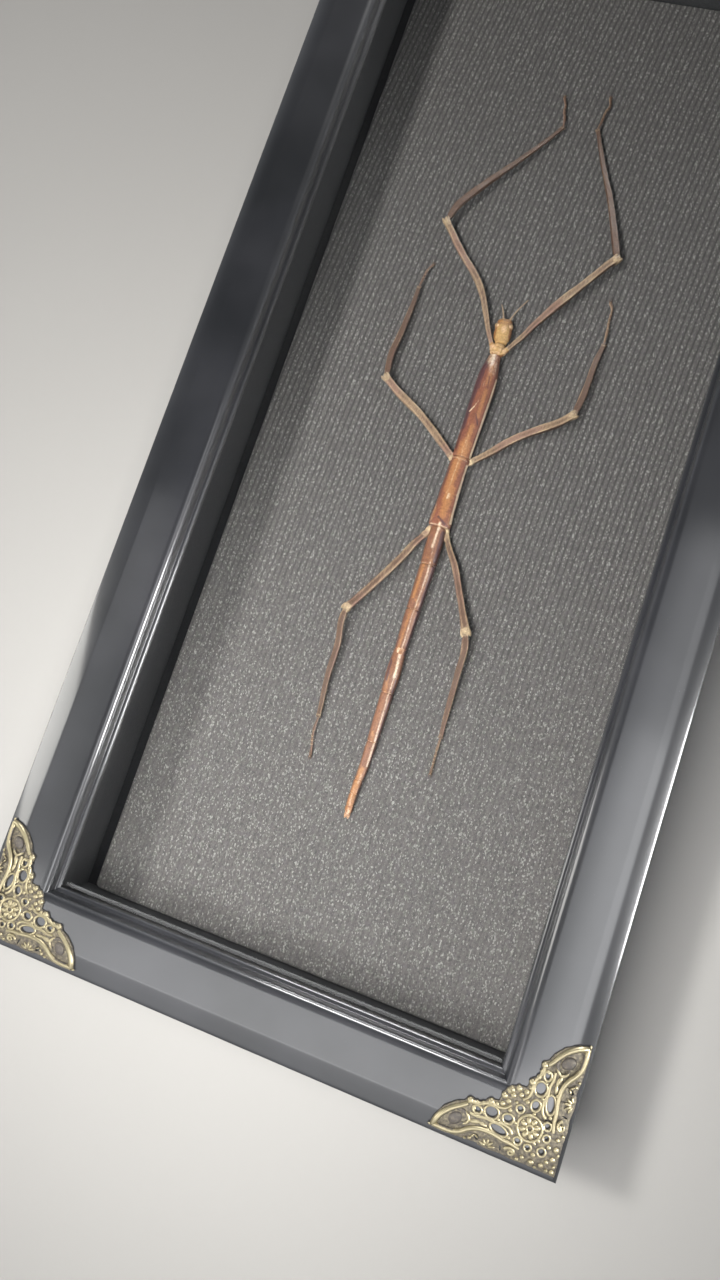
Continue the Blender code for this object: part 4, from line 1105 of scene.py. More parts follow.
# %% [markdown]
# ## Cuticle of the insect
# A dried insect is a set of hard plates and tubes.  The head and the saddle behind it are ochre,
# the trunk is reddish brown and glossy, and the legs are tan with darker grooves.  One shared node
# group does the mottling; each finish gives it its own four colours, and painted numbers on the
# pieces say where it turns pale, deep or warm.

# %% Four cuticle finishes
def make_cuticle(name, base, deep, pale, warm, streak, gloss, coat, depth):
    made, recipe = new_finish(name, Specular_IOR_Level=0.5, Coat_Weight=coat,
                              Coat_Roughness=0.22, Coat_IOR=1.5)
    used = recipe.group(cuticle, Base_Colour=base, Deep_Colour=deep, Pale_Colour=pale,
                        Warm_Colour=warm, Pale=recipe.painted("pale"), Deep=recipe.painted("deep"),
                        Warm=recipe.painted("warm"), Streak_Width=streak, Gloss=gloss)
    recipe.surface(used["Colour"], used["Roughness"], used["Height"], depth)
    return made


head_finish = make_cuticle("ochre_head_cuticle", (0.5, 0.308, 0.12), (0.3, 0.13, 0.043),
                           (0.7, 0.455, 0.265), (0.36, 0.18, 0.065), 0.9, 0.56, 0, 0.03)
body_finish = make_cuticle("red_brown_body_cuticle", (0.255, 0.095, 0.055), (0.098, 0.04, 0.044),
                           (0.8, 0.64, 0.46), (0.385, 0.17, 0.07), 0.75, 0.3, 0.36, 0.06)
abdomen_finish = make_cuticle("brown_abdomen_cuticle", (0.25, 0.112, 0.062),
                              (0.1, 0.048, 0.048), (0.78, 0.62, 0.47), (0.37, 0.17, 0.07),
                              0.6, 0.28, 0.36, 0.05)
leg_finish = make_cuticle("tan_leg_cuticle", (0.35, 0.24, 0.155), (0.11, 0.06, 0.04),
                          (0.61, 0.47, 0.29), (0.3, 0.18, 0.135), 0.45, 0.38, 0.15, 0.05)


def paint_cuticle(piece, pale, deep, warm):
    """The three numbers that a cuticle reads; a single number counts for the whole piece."""
    count = len(piece.data.vertices)
    for name, values in (("pale", pale), ("deep", deep), ("warm", warm)):
        paint(piece, name, np.broadcast_to(np.ravel(values), count))
    return piece


print("cuticle finishes:", head_finish.name, body_finish.name, abdomen_finish.name, leg_finish.name)


# %% Eyes and claws
def make_eye_finish():
    made, recipe = new_finish("dried_eye", Coat_Weight=1, Coat_Roughness=0.2)
    place = recipe.coordinates()
    facets = recipe.cells(place, 0.1)["Distance"]
    cloud = recipe.grain(place, 0.8, 3)
    colour = recipe.mix(recipe.spread(cloud, 0.35, 0.65), (0.6, 0.43, 0.24), (0.36, 0.2, 0.085))
    colour = recipe.mix(recipe.spread(facets, 0.35, 0.6, 0, 0.5), colour, (0.2, 0.11, 0.05))
    recipe.surface(colour, recipe.spread(cloud, 0.3, 0.7, 0.18, 0.32),
                   recipe.spread(facets, 0, 0.6, 1, 0), 0.02)
    return made


def make_claw_finish():
    made, recipe = new_finish("dark_claw_horn", Coat_Weight=0.3, Coat_Roughness=0.2)
    place = recipe.coordinates()
    recipe.surface(recipe.mix(recipe.spread(recipe.grain(place, 0.5, 3), 0.35, 0.65),
                              (0.06, 0.026, 0.012), (0.17, 0.08, 0.036)),
                   recipe.spread(recipe.grain(place, 0.2, 2), 0.3, 0.7, 0.25, 0.42))
    return made


eye_finish, claw_finish = make_eye_finish(), make_claw_finish()
print("finishes:", eye_finish.name, claw_finish.name)


# %% [markdown]
# ## The trunk's plan
# The trunk is laid out along one slightly wavy middle line, seen from above.  Each plate has a
# short table of widths and heights along its length, and a smooth curve through the table gives
# the rest.

# %% Middle line and tables
REST_GAP, SEGMENT_GAP = 0.3, 0.32
BODY_LINE = (
    (46.5, 2.8), (42, 2.5), (36, 2.9), (28, 3.15), (8, 3.1), (-10, 2.95), (-22, 3.1), (-36, 3.3),
    (-46, 3.65), (-57, 4.05), (-76, 4.1), (-97, 4.2), (-112, 4.6), (-137, 5.2), (-152, 5.3),
    (-162, 4.6), (-169, 4.7), (-176, 4.9))
HEAD_NECK, HEAD_LENGTH, HEAD_TURN = (3.4, 52.6), 12.4, 6.5
PRONOTUM_BACK, PRONOTUM_TURN = (2.95, 46.85), -3
HEAD_STATIONS = (
    (0, 5.5, 2.6), (0.6, 6.5, 3.6), (2, 7.2, 4.6), (4.4, 7.6, 5.2), (7.4, 8, 5.5), (9.6, 7.5, 5.2),
    (11.4, 6.1, 4.5), (12.4, 5.2, 3.9))
PRONOTUM_STATIONS = ((0, 4.9, 3.7), (1, 5.6, 4.3), (3, 6.2, 4.7), (4.7, 6, 4.6),
                     (5.4, 5.2, 4.1))
MESOTHORAX_STATIONS = (
    (0, 5, 4), (2.6, 5.6, 4.5), (4.2, 6.2, 5), (6.6, 7.3, 5.8), (10.5, 8.5, 6.5), (17, 9.1, 6.9),
    (27, 8.8, 6.9), (37, 8.6, 6.7), (46.5, 8.3, 6.4), (52.1, 8.3, 6.2))
METATHORAX_STATIONS = (
    (0, 8.2, 6.2), (5, 8.1, 6.1), (10, 8.1, 6.2), (17, 8.6, 6.5), (25, 9.1, 6.8), (30, 9.9, 6.9),
    (32.8, 10, 6.8), (33.6, 9.2, 6.4))
ABDOMEN = (
    ("abdomen_2", 17.6, 7.5, 7.5, 7.4, 6.2), ("abdomen_3", 21.1, 7.1, 6.6, 6.5, 5.9),
    ("abdomen_4", 18.3, 6.3, 5.9, 5.6, 5.3), ("abdomen_5", 20.2, 5.5, 6.5, 5.8, 5.2),
    ("abdomen_6", 22.3, 5.5, 5.2, 4.9, 4.5), ("abdomen_7", 17.4, 4.8, 4.4, 4, 3.9),
    ("abdomen_8", 6.2, 3.9, 3.7, 3.8, 3.5), ("abdomen_9", 5.2, 3.7, 3.7, 3.6, 3.3),
    ("abdomen_10", 4.6, 3.6, 3.3, 2.5, 2.8))


def body_x(y):
    """Middle line of the trunk seen from above, with its corners eased over a few millimetres."""
    line = np.array(BODY_LINE)[::-1]
    y = np.asarray(y, float)
    return sum(np.interp(y + shift, line[:, 0], line[:, 1]) for shift in (-4, -2, 0, 2, 4)) / 5


def read_table(table, where, column):
    """A Catmull-Rom curve through one column of a table, read at many places."""
    places = np.array([row[0] for row in table])
    values = np.array([row[column] for row in table])
    where = np.clip(where, places[0], places[-1])
    i = np.clip(np.searchsorted(places, where, side="right") - 1, 0, len(places) - 2)
    t = (where - places[i]) / (places[i + 1] - places[i])
    before, after = values[np.maximum(i - 1, 0)], values[np.minimum(i + 2, len(values) - 1)]
    low, high = values[i], values[i + 1]
    return 0.5 * (2 * low + (high - before) * t + (2 * before - 5 * low + 4 * high - after) * t ** 2
                  + (3 * low - before - 3 * high + after) * t ** 3)


def strokes(x, y, marks):
    """Soft brush strokes seen from above: each is x, y at both ends, half width and strength."""
    total = np.zeros_like(x)
    for x0, y0, x1, y1, half, strength in marks:
        along = np.array([x1 - x0, y1 - y0])
        run = (x - x0) * along[0] + (y - y0) * along[1]
        share = np.clip(run / max(along @ along, 1e-6), 0, 1)
        away = np.hypot(x - x0 - share * along[0], y - y0 - share * along[1])
        total = np.maximum(total, strength * bell(away, half))
    return total


print("trunk length in mm:", round(BODY_LINE[0][0] - BODY_LINE[-1][0], 1))


# %% [markdown]
# ## Plates of the trunk
# A plate of the trunk is a rounded tube, flatter below, with a thin keel along each side and a low
# ridge along the back.  Real plates overlap like roof tiles: the rear rim of each one flares over
# the front of the next.  The section is swept along the plan, then small waves and dents from
# drying are pressed into it.

# %% Rings round a middle line
SECTION_TOP, SECTION_BOTTOM = 0.54, 0.46
END_ROUND, LEAST_CLEARANCE = 0.35, 0.12


def end_tuck(distances, ends):
    """1 along the plate, falling to `ends` at both ends in a small round."""
    tuck = np.ones_like(distances)
    for from_end in (distances - distances[0], distances[-1] - distances):
        share = np.clip(from_end / END_ROUND, 0, 1)
        tuck *= 1 - (1 - ends) * (1 - np.sqrt(share * (2 - share)))
    return tuck[:, None]


def shell_of(name, distances, centres, across, table, sculpt, sides, ends=0.55):
    """Rings on a middle line, sculpted outwards, with rounded ends; gives piece and plan."""
    widths, heights = (read_table(table, distances, column)[:, None] for column in (1, 2))
    theta = np.linspace(0, 2 * math.pi, sides, endpoint=False)[None, :]
    cos, sin = np.cos(theta), np.sin(theta)
    d = distances[:, None]
    side = np.sign(cos) * np.abs(cos) ** 0.9 * widths / 2
    rise = sin * heights * np.where(sin > 0, SECTION_TOP, SECTION_BOTTOM)
    middle = FABRIC_TOP + REST_GAP + heights * SECTION_BOTTOM

    def in_plan():
        return [centres[:, i:i + 1] + across[:, i:i + 1] * side for i in (0, 1)]

    grow = sculpt(d, theta, side, *in_plan(), middle + rise)
    tuck = end_tuck(distances, ends)
    side, rise = (side + grow * cos) * tuck, (rise + grow * sin) * tuck
    x, y = in_plan()
    z = np.maximum(middle + rise, FABRIC_TOP + LEAST_CLEARANCE)
    points = np.stack([x, y, z], -1).reshape(-1, 3)
    piece = turn_outwards(add_mesh(name, points, ring_faces(len(distances), sides)), crease=60)
    return piece, side, x, y, theta + 0 * d, d + 0 * theta


print("a section rises", SECTION_TOP, "of its height above its widest line")


# %% Keels, ridge, rim and dents
def creases(x, y, z, size, depth):
    return depth * wander(x + 0.7 * z, 0.6 * y - z, size, 1.3)


def wrapped(theta):
    """The turn from the right side, the short way round."""
    return np.minimum(theta, 2 * math.pi - theta)


def plate_sculpt(keel, ridge, rim, dent):
    """Keels at both sides, a ridge on the back, a flared rear rim and dents from drying."""
    def sculpt(d, theta, side, x, y, z):
        length = d[-1] - d[0]
        share, top = d / length, theta - math.pi / 2
        from_end = length - (d - d[0])
        grow = keel * (bell(wrapped(theta) - 0.3, 0.11) + bell(theta - math.pi + 0.12, 0.13))
        inner = smooth_step(share * 6) * smooth_step((1 - share) * 6)
        grow = grow + ridge * bell(top, 0.075) * inner
        grow = grow - dent * 0.9 * (bell(top - 0.42, 0.2) + bell(top + 0.42, 0.2))
        grow = grow + rim * bell(from_end - 0.35, 0.55) - rim * 0.6 * bell(from_end - 1.8, 0.7)
        grow = grow + 0.5 * rim * bell(d - d[0] - 0.9, 0.5)
        grow = grow + creases(x, y, z, 8.5, dent) + creases(y * 0.4, x * 2, z, 3.1, dent * 0.35)
        granules = (wander(x * 3.1 + z, y * 2.7 + 0.6 * z, 2.3, 0.7)
                    * wander(x * 2.3 - z, y * 3.3, 1.9, 3))
        return grow + 0.07 * np.clip(granules - 0.12, 0, 1)
    return sculpt


print("plate helpers ready")


# %% [markdown]
# ## Markings of the trunk
# The marks are listed as brush strokes in plan, in millimetres: where each begins and ends, how
# wide it is and how strong.  Pale ones are the collar, the keel, an old scar and the light borders,
# with a painted highlight where the keel catches light and along the glossy abdomen; deep ones are
# the dark red flank, with painted shade down the abdomen's right flank; warm ones are the orange
# and tan places.

# %% Strokes in plan
PALE_STRENGTH = 0.76
PALE_AND_HIGHLIGHT_MARKS = (
    (1.9, 47, 2.1, 42.6, 2.9, 0.74), (2.5, 42.6, 2.8, 39.4, 2, 0.56), (3, 39.4, 3.3, 36, 1, 0.4),
    (4.6, 45, 5.2, 35.5, 1.5, 0.5), (0.1, 15.8, 1.5, 18.2, 0.42, 1.05),
    (1.5, 18.2, 2.7, 21.5, 0.3, 0.75), (2.7, 21.5, 2.9, 26, 0.26, 0.62),
    (2.9, 26, 2.2, 31.5, 0.26, 0.58), (1.3, 14, 1.5, 9, 0.3, 0.45), (3.4, 4, 3.2, -5, 1.7, 0.42),
    (-0.9, -6.7, 6.6, -7.4, 0.34, 0.62), (3.1, -3, 3, -6, 0.5, 0.5),
    (2.6, -7.5, 2.5, -14, 0.75, 0.55), (2.5, -14, 2.3, -24, 0.8, 0.5),
    (3.2, -24.6, 3.3, -26.4, 0.9, 0.8), (-0.9, -30, -1.2, -38, 0.5, 0.6),
    (-1, -39.4, 7.6, -39.6, 0.34, 0.75), (3.6, -38.6, 3.9, -41, 0.9, 0.9),
    # the strokes that run lengthwise along the abdomen, from y = -41 to -152 a little right of its
    # middle, are a painted highlight: the gleam along its glossy back.  The one across it at y =
    # -57.6 is a pale segment border.
    (3.7, -41, 3.7, -50, 0.8, 0.85), (4, -50, 4.9, -56, 0.54, 0.52),
    (1, -57.6, 7.2, -57.9, 0.3, 0.55), (5, -57, 5.2, -66, 0.68, 0.7),
    (5.2, -66, 4.9, -78, 0.59, 0.67), (4.8, -78, 4.8, -88, 0.59, 0.63),
    (4.9, -88, 4.9, -100, 0.56, 0.68), (5, -100, 5.8, -111, 0.95, 0.83),
    (5.8, -111, 5.7, -122, 0.52, 0.67), (5.9, -122, 6.3, -137, 0.56, 0.67),
    (6.4, -137, 6.6, -152, 0.63, 0.75), (5.6, -156, 5.2, -160, 0.9, 0.54),
    (4.2, -163, 4.8, -173, 0.81, 0.52), (4.8, -173, 5, -176.6, 1.62, 0.7))
# the keel line is partly the keel's own pale colour and partly a painted highlight, the light it
# catches along the right side; hence strengths above 1
KEEL_AND_HIGHLIGHT_MARKS = (
    (7.3, 34, 7.35, 22, 0.4, 1), (7.35, 22, 7.1, 4, 0.42, 1.4), (7.1, 4, 6.95, -5, 0.42, 1.4),
    (6.9, -9, 7.1, -24, 0.62, 1), (7.2, -24, 8, -37, 0.7, 0.9))
DEEP_AND_SHADE_MARKS = (
    (-0.4, 41, -0.7, 28, 2, 1), (-0.8, 28, -0.8, 8, 1.6, 0.9), (-0.7, 8, -0.6, -2, 1, 0.6),
    (3.9, 34, 4.6, 28.5, 0.5, 0.7), (3.3, 15, 5.6, 10.5, 0.5, 0.72), (5.9, 28, 5.6, 20, 0.4, 0.45),
    (0.8, -8.5, 5.2, -8.8, 0.5, 0.35), (-0.6, -12, -0.7, -26, 0.6, 0.55),
    (2, -36, 5.6, -38.4, 0.9, 0.75), (0, -37, -0.6, -38.4, 0.6, 0.55),
    # strokes at x = 6.2 to 7.4, from y = -42 to -176, darken the right flank of the abdomen:
    # painted shade on the side turned from the light
    (6.2, -42, 6.8, -56, 1.1, 0.85), (1.6, -42, 1.8, -54, 0.5, 0.45), (7.2, -58, 7, -80, 1, 0.95),
    (7, -80, 6.9, -100, 0.8, 0.85), (1.6, -62, 1.9, -76, 0.35, 0.35), (1.8, -93, 2, -98, 0.7, 0.6),
    (2.2, -104, 2.8, -113, 0.65, 0.85), (6.9, -112, 7.4, -150, 0.5, 0.7),
    (4.3, -140, 4.5, -152, 0.45, 0.45), (2.9, -121, 3.2, -134, 0.4, 0.4),
    (6.4, -162, 6.5, -176, 0.5, 0.6))
WARM_MARKS = (
    (3.6, 41, 4.2, 30, 1.5, 0.66), (4.4, 27, 4.6, 14, 1.3, 0.66), (3.6, 9, 3.4, 0, 1.5, 0.8),
    (3.3, 0, 3.2, -5.5, 2.9, 1), (2, -9, 2, -22, 2.4, 0.95), (3.2, -22, 3.3, -28, 2.6, 0.95),
    (3.4, -28, 3.5, -36, 2.4, 0.8), (-0.6, -32, -0.6, -38, 0.7, 0.7),
    (6.6, -33, 7.4, -38, 0.8, 0.6), (2.5, -58, 2.6, -74, 1, 0.72),
    (3.1, -55, 5.6, -56.4, 0.7, 0.6), (4.2, -75, 5.4, -77, 0.8, 0.6),
    (3.4, -80, 3.4, -98, 0.9, 0.62), (3, -111, 4, -118, 0.9, 0.65), (4.6, -122, 5, -136, 0.8, 0.4),
    (4.4, -137, 5.2, -140, 1.2, 0.62), (4.8, -154, 4.6, -162, 1.7, 0.8),
    (4.6, -162, 4.9, -176, 1.7, 1))


def mark_plate(piece, x, y, theta):
    """Strokes count from above; the underside stays plain and a little paler."""
    above = smooth_step((np.sin(theta) + 0.35) / 0.6)
    below = smooth_step((-np.sin(theta) - 0.2) / 0.5)
    pale = PALE_STRENGTH * strokes(x, y, PALE_AND_HIGHLIGHT_MARKS) + strokes(x, y, KEEL_AND_HIGHLIGHT_MARKS)
    return paint_cuticle(piece, pale * above, strokes(x, y, DEEP_AND_SHADE_MARKS) * above + 0.15 * below,
                         np.maximum(strokes(x, y, WARM_MARKS) * above, 0.45 * below))


print("strokes:", len(PALE_AND_HIGHLIGHT_MARKS) + len(KEEL_AND_HIGHLIGHT_MARKS) + len(DEEP_AND_SHADE_MARKS) + len(WARM_MARKS))


# %% Thorax and abdomen
RING_STEP, OVERLAP = 0.3, 0.3
FRONT_RINGS, REAR_RINGS = (-0.02, 0.03, 0.09, 0.17), (0, 0.04, 0.1, 0.18)
FULL_SIZE = 7.5


def trunk_plate(node, finish, y_front, table, sculpt, sides=56):
    """One plate, from its front backwards; gives the front of the next one."""
    reach = table[-1][0] + OVERLAP
    distances = np.unique(np.concatenate([np.arange(FRONT_RINGS[0], reach, RING_STEP),
                                          reach - np.array(REAR_RINGS), FRONT_RINGS]))
    ys = y_front - distances
    centres = np.stack([body_x(ys), ys], -1)
    across = np.broadcast_to([1, 0], centres.shape)
    piece, _, x, y, theta, _ = shell_of(node + "_plate", distances, centres, across, table,
                                        sculpt, sides)
    settle(dress(mark_plate(piece, x, y, theta), finish), "body_brown", node)
    return y_front - table[-1][0] - SEGMENT_GAP


def abdomen_table(length, front, middle, back, height):
    flat = height / max(front, middle, back)
    plan = ((0, front * 0.93), (1.2, front), (length * 0.5, middle), (length - 1.4, back),
            (length, back * 0.97))
    return [(distance, width, width * flat) for distance, width in plan]


y_next = trunk_plate("mesothorax", body_finish, BODY_LINE[0][0], MESOTHORAX_STATIONS,
                     plate_sculpt(0.34, 0.16, 0.1, 0.15))
y_next = trunk_plate("metathorax", body_finish, y_next, METATHORAX_STATIONS,
                     plate_sculpt(0.3, 0.12, 0.12, 0.13))
for node, *sizes in ABDOMEN:
    small = sizes[1] / FULL_SIZE
    sculpt = plate_sculpt(0.1 * small, 0.05 * small, 0.16 * small, 0.1 * small)
    y_next = trunk_plate(node, abdomen_finish, y_next, abdomen_table(*sizes), sculpt,
                         sides=48 if small > 0.7 else 40)
tail_end = y_next + SEGMENT_GAP
print("trunk plates:", 2 + len(ABDOMEN), "tail ends at y =", round(float(tail_end), 1))


# %% Tail: two leaf-shaped cerci and the small plate between them
CERCUS = ((0.75, 1.8), (0.88, 0.5), (0.82, -0.4), (0.66, -1.15))


def tail_shells(count=18):
    shells = []
    centre, height = float(body_x(tail_end)), FABRIC_TOP + REST_GAP + 1.4
    radii = 0.5 * np.sqrt(np.clip(np.linspace(1, 0, count) * 1.4, 0.03, 1))
    for side in (-1, 1):
        places = [(centre + side * aside, tail_end + ahead) for aside, ahead in CERCUS]
        shells.append(wire(smooth_path(places, count), radii, 12,
                           height=np.linspace(height, height - 0.15, count), flat=0.75))
    between = (centre, tail_end + 0.15, height + 0.35)
    return shells + [drop(between, 0.85, 0.55, 0.55, 90, rings=8, sides=18)]


tail = paint_cuticle(turn_outwards(join_shells("tail_cerci", tail_shells())), 0.35, 0.1, 0.8)
settle(dress(tail, abdomen_finish), "body_brown")
print("tail points:", len(tail.data.vertices))


# %% [markdown]
# ## Soft skin inside the trunk
# Between the plates a thin skin joins them.  It is one tube, a little narrower than the plates, so
# that no gap ever shows daylight.

# %% Joining skin
SKIN_FRONT, SKIN_STEP = 50.6, 0.7
SKIN_PLAN = (
    (50.35, 3.4, 2.9), (46.5, 3.6, 3.2), (42, 4.2, 3.7), (38, 6.4, 5), (30, 7.4, 5.6),
    (0, 7.2, 5.5), (-5.8, 7.3, 5.5), (-38, 7.9, 5.8), (-41, 6.2, 5.3), (-58, 6.2, 5.3),
    (-80, 5.3, 4.8), (-98, 4.7, 4.5), (-119, 4.6, 4.2), (-141, 4, 3.7), (-159, 3.3, 3.1),
    (-166, 3.1, 2.9), (-172, 2.9, 2.7), (-177, 2, 2.2))


def wrinkles(d, theta, side, x, y, z):
    return 0.05 * np.sin(d * 2 * math.pi / 0.8) + creases(x, y, z, 4, 0.05)


def make_joining_skin():
    ys = np.arange(SKIN_FRONT, tail_end + 1, -SKIN_STEP)
    table = [(SKIN_FRONT - y, width, height) for y, width, height in SKIN_PLAN]
    centres = np.stack([body_x(ys), ys], -1)
    across = np.broadcast_to([1, 0], centres.shape)
    piece, _, x, y, _, _ = shell_of("joining_skin", SKIN_FRONT - ys, centres, across, table,
                                    wrinkles, 28)
    paint_cuticle(piece, 0.35 + 0.3 * wander(x * 2, y, 5), 0.15, 0.6)
    return settle(dress(piece, body_finish), "body_brown")


print("joining skin, points:", len(make_joining_skin().data.vertices))


# %% [markdown]
# ## Head and saddle
# The head is a long oval capsule: blunt in front where the feelers stand, with eyes at its sides,
# fullest behind them and drawn in at the neck.  Fine sutures run back over its crown, and two
# small knobs sit between the eyes.  The saddle behind it has a cross of shallow grooves.

# %% Places on the head
EYE_RADII, EYE_SIDE, EYE_BACK, EYE_HEIGHT = (0.95, 1.35, 1.15), 3.4, 4.2, 3.6
ANTENNAE = {"left": (-1, -14, -27, 8.4), "right": (2, 14, 27, 13.8)}
ANTENNA_RADIUS, ANTENNA_JOINTS = 0.45, 19
HEAD_GROOVES = (
    (0, 0.16, 0.16), (-1.35, 0.08, 0.2), (1.35, 0.08, 0.2), (-2.5, 0.05, 0.25), (2.5, 0.05, 0.25))


def head_place(side, back, height):
    ahead, right = compass(-HEAD_TURN)
    place = np.array(HEAD_NECK) + ahead * (HEAD_LENGTH - back) + right * side
    return np.array([*place, FABRIC_TOP + height])


def straight_plan(back, length, turn, distances):
    """A straight middle line from the front backwards, and the direction across it."""
    ahead, right = compass(-turn)
    centres = np.array(back)[None, :] + ahead[None, :] * (length - distances[:, None])
    return centres, np.broadcast_to(right, centres.shape)


print("front of the head at y =", round(float(head_place(0, 0, 0)[1]), 1))


# %% Sculpting of head and saddle
def upper(theta):
    return np.clip(np.sin(theta), 0, 1)


def head_sculpt(d, theta, side, x, y, z):
    top = upper(theta)
    grow = np.zeros_like(side + d)
    for offset in (side - EYE_SIDE, side + EYE_SIDE):
        reach = np.sqrt(offset ** 2 + (d - EYE_BACK) ** 2 + (z - FABRIC_TOP - EYE_HEIGHT) ** 2)
        grow = grow + 0.3 * bell(reach, 1.7) - 0.28 * bell(reach - 1.75, 0.35)
    for root, *_ in ANTENNAE.values():
        reach = np.hypot(side - root, d - 0.9)
        grow = grow + (0.34 * bell(reach - 0.75, 0.35) - 0.25 * bell(reach, 0.5)) * top
    crown = top * smooth_step((d - 3) / 1.5)
    for place, depth, narrow in HEAD_GROOVES:
        grow = grow - depth * bell(side - place * (1 - 0.02 * (d - 7)), narrow) * crown
    knobs = sum(bell(np.hypot(side - place, d - 2.5), 0.42) for place in (0.85, -0.85))
    grow = grow + (0.22 * knobs - 0.2 * bell(d - 3.1, 0.28)) * top
    cheeks = bell(d - 8.4, 2.2) * bell(np.abs(side) - 3.2, 1.1)
    grow = grow + 0.16 * cheeks - 0.14 * bell(d - 11.2, 0.5)
    return grow + creases(x, y, z, 4.2, 0.06) + creases(x * 1.7, y * 0.8, z, 1.7, 0.012)


def saddle_sculpt(d, theta, side, x, y, z):
    cross = 0.16 * bell(np.abs(side) - 1.5, 0.7) * bell(d - 3.6, 0.9)
    cross = cross - 0.22 * bell(side, 0.2) - 0.24 * bell(d - 2.3, 0.28)
    rims = 0.2 * (bell(d - 0.45, 0.35) + bell(d - 4.9, 0.35))
    keels = 0.16 * (bell(wrapped(theta), 0.2) + bell(theta - math.pi, 0.2))
    return cross * upper(theta) + rims + keels + creases(x, y, z, 2.9, 0.07)


print("head sculpting ready")


# %% Head and saddle pieces
EDGE_RINGS = np.array([0.0, 0.05, 0.11, 0.18, 0.26])


def front_plate(name, node, back, stations, turn, reach, before, sculpt, sides, ends, masks):
    """A plate in front of the trunk: `before` and `reach` are how far it runs past its plan."""
    length = stations[-1][0]
    inner = np.arange(END_ROUND, length + reach - END_ROUND, 0.13)
    distances = np.unique(np.concatenate([EDGE_RINGS, inner, length + reach - EDGE_RINGS])) - before
    centres, across = straight_plan(back, length, turn, distances)
    piece, side, _, _, theta, d = shell_of(name, distances, centres, across, stations, sculpt,
                                           sides, ends)
    paint_cuticle(piece, *masks(side, d, smooth_step((np.sin(theta) + 0.2) / 0.5)))
    settle(dress(piece, head_finish), "head_ochre", node)
    print(name, "points:", len(piece.data.vertices))


def head_masks(side, d, top):
    """Pale crown, streaks, eye rings and a painted highlight by each eye;
    a dark front band, grooves and cheeks; warm front.
    """
    away = np.abs(side)
    streaks = bell(away - 0.72, 0.26) + bell(away + 0.72, 0.26)
    streaks = streaks + 0.8 * (bell(away - 1.9, 0.24) + bell(away + 1.9, 0.24))
    streaks = streaks * smooth_step((d - 3.6) / 1.2) * smooth_step((12.2 - d) / 1.5) * top
    eye_ring = bell(np.hypot(away - EYE_SIDE, d - EYE_BACK) - 1.5, 0.35)
    crown = 0.66 * bell(side - 0.3, 1.7) * bell(d - 7, 2.6) * top
    # a painted highlight beside each eye
    painted_glint = 1.6 * bell(np.hypot(away - 3.1, d - 4.5), 0.6) * top
    neck = 0.34 * np.maximum(streaks, 0.85 * bell(d - 12, 0.5))
    band = bell(d - 1.7, 1.5) * (1 - 0.25 * bell(side, 0.5)) + 0.6 * bell(d, 0.6)
    grooves = 0.35 * bell(side, 0.12) * smooth_step(d - 4)
    cheeks = 0.95 * smooth_step((away - 2.3) / 1.1) * smooth_step((11.4 - d) / 2)
    warm = np.clip(0.95 * bell(d - 2.4, 2.3) + 0.35 * bell(d - 11, 1), 0, 1) * top
    return (np.maximum.reduce([neck, crown, 0.3 * eye_ring, painted_glint]),
            (0.46 * band + grooves) * top + cheeks, warm)


def saddle_masks(side, d, top):
    pale = 0.28 + 0.35 * bell(np.abs(side) - 1.4, 0.6) * bell(d - 3.4, 1.1)
    return (np.maximum(pale, 0.7 * bell(d - 5.2, 0.5)) * top,
            (0.55 * bell(side, 0.16) + 0.6 * bell(d - 2.3, 0.2)) * top,
            0.1 + 0.35 * bell(d - 0.6, 0.6))


front_plate("head_capsule", "head", HEAD_NECK, HEAD_STATIONS, HEAD_TURN, 0.25, 0.1,
            head_sculpt, 88, 0.5, head_masks)
front_plate("pronotum_saddle", "pronotum", PRONOTUM_BACK, PRONOTUM_STATIONS, PRONOTUM_TURN,
            0.3, 0.15, saddle_sculpt, 72, 0.55, saddle_masks)


# %% Eyes and mouthparts
MOUTH_LUMPS = (
    (0, 0.15, 1.35, (1.25, 0.7, 0.9), 0), (-0.95, 0.3, 1.1, (0.6, 0.8, 0.7), 20),
    (0.95, 0.3, 1.1, (0.6, 0.8, 0.7), -20), (0, 0.75, 0.85, (1.3, 0.9, 0.5), 0))
PALP = ((1.6, 1.6), (2.2, 0.6), (2, -0.4), (1.4, -1))


def head_lump(side, back, height, sizes, lean, rings, sides):
    """A smooth lump at a place on the head, turned with it."""
    points, faces = drop((0, 0, 0), *sizes, rings=rings, sides=sides)
    x, y = turned(points[:, 0], points[:, 1], HEAD_TURN + lean)
    return np.column_stack([x, y, points[:, 2]]) + head_place(side, back, height), faces


for name, side in (("left", -1), ("right", 1)):
    dome = head_lump(side * EYE_SIDE, EYE_BACK, EYE_HEIGHT, EYE_RADII, 0, 26, 40)
    piece = turn_outwards(add_mesh("eye_dome_" + name, *dome))
    settle(dress(piece, eye_finish), "eye", "eye_" + name)


def mouth_shells(count=30):
    shells = [head_lump(*lump, 10, 22) for lump in MOUTH_LUMPS]
    radii = 0.24 + 0.05 * np.abs(np.sin(np.linspace(0, 4 * math.pi, count)))
    radii[-3:] = (0.2, 0.14, 0.06)
    for side in (-1, 1):
        plan = [head_place(side * aside, back, 0)[:2] for aside, back in PALP]
        shells.append(wire(smooth_path(plan, count), radii,
                           height=FABRIC_TOP + np.linspace(1.1, 0.75, count)))
    return shells


mouth = paint_cuticle(turn_outwards(join_shells("mouthparts", mouth_shells())), 0.1, 0.45, 0.6)
settle(dress(mouth, head_finish), "head_ochre")
print("eyes made: 2, shells of the mouth:", len(MOUTH_LUMPS) + 2)


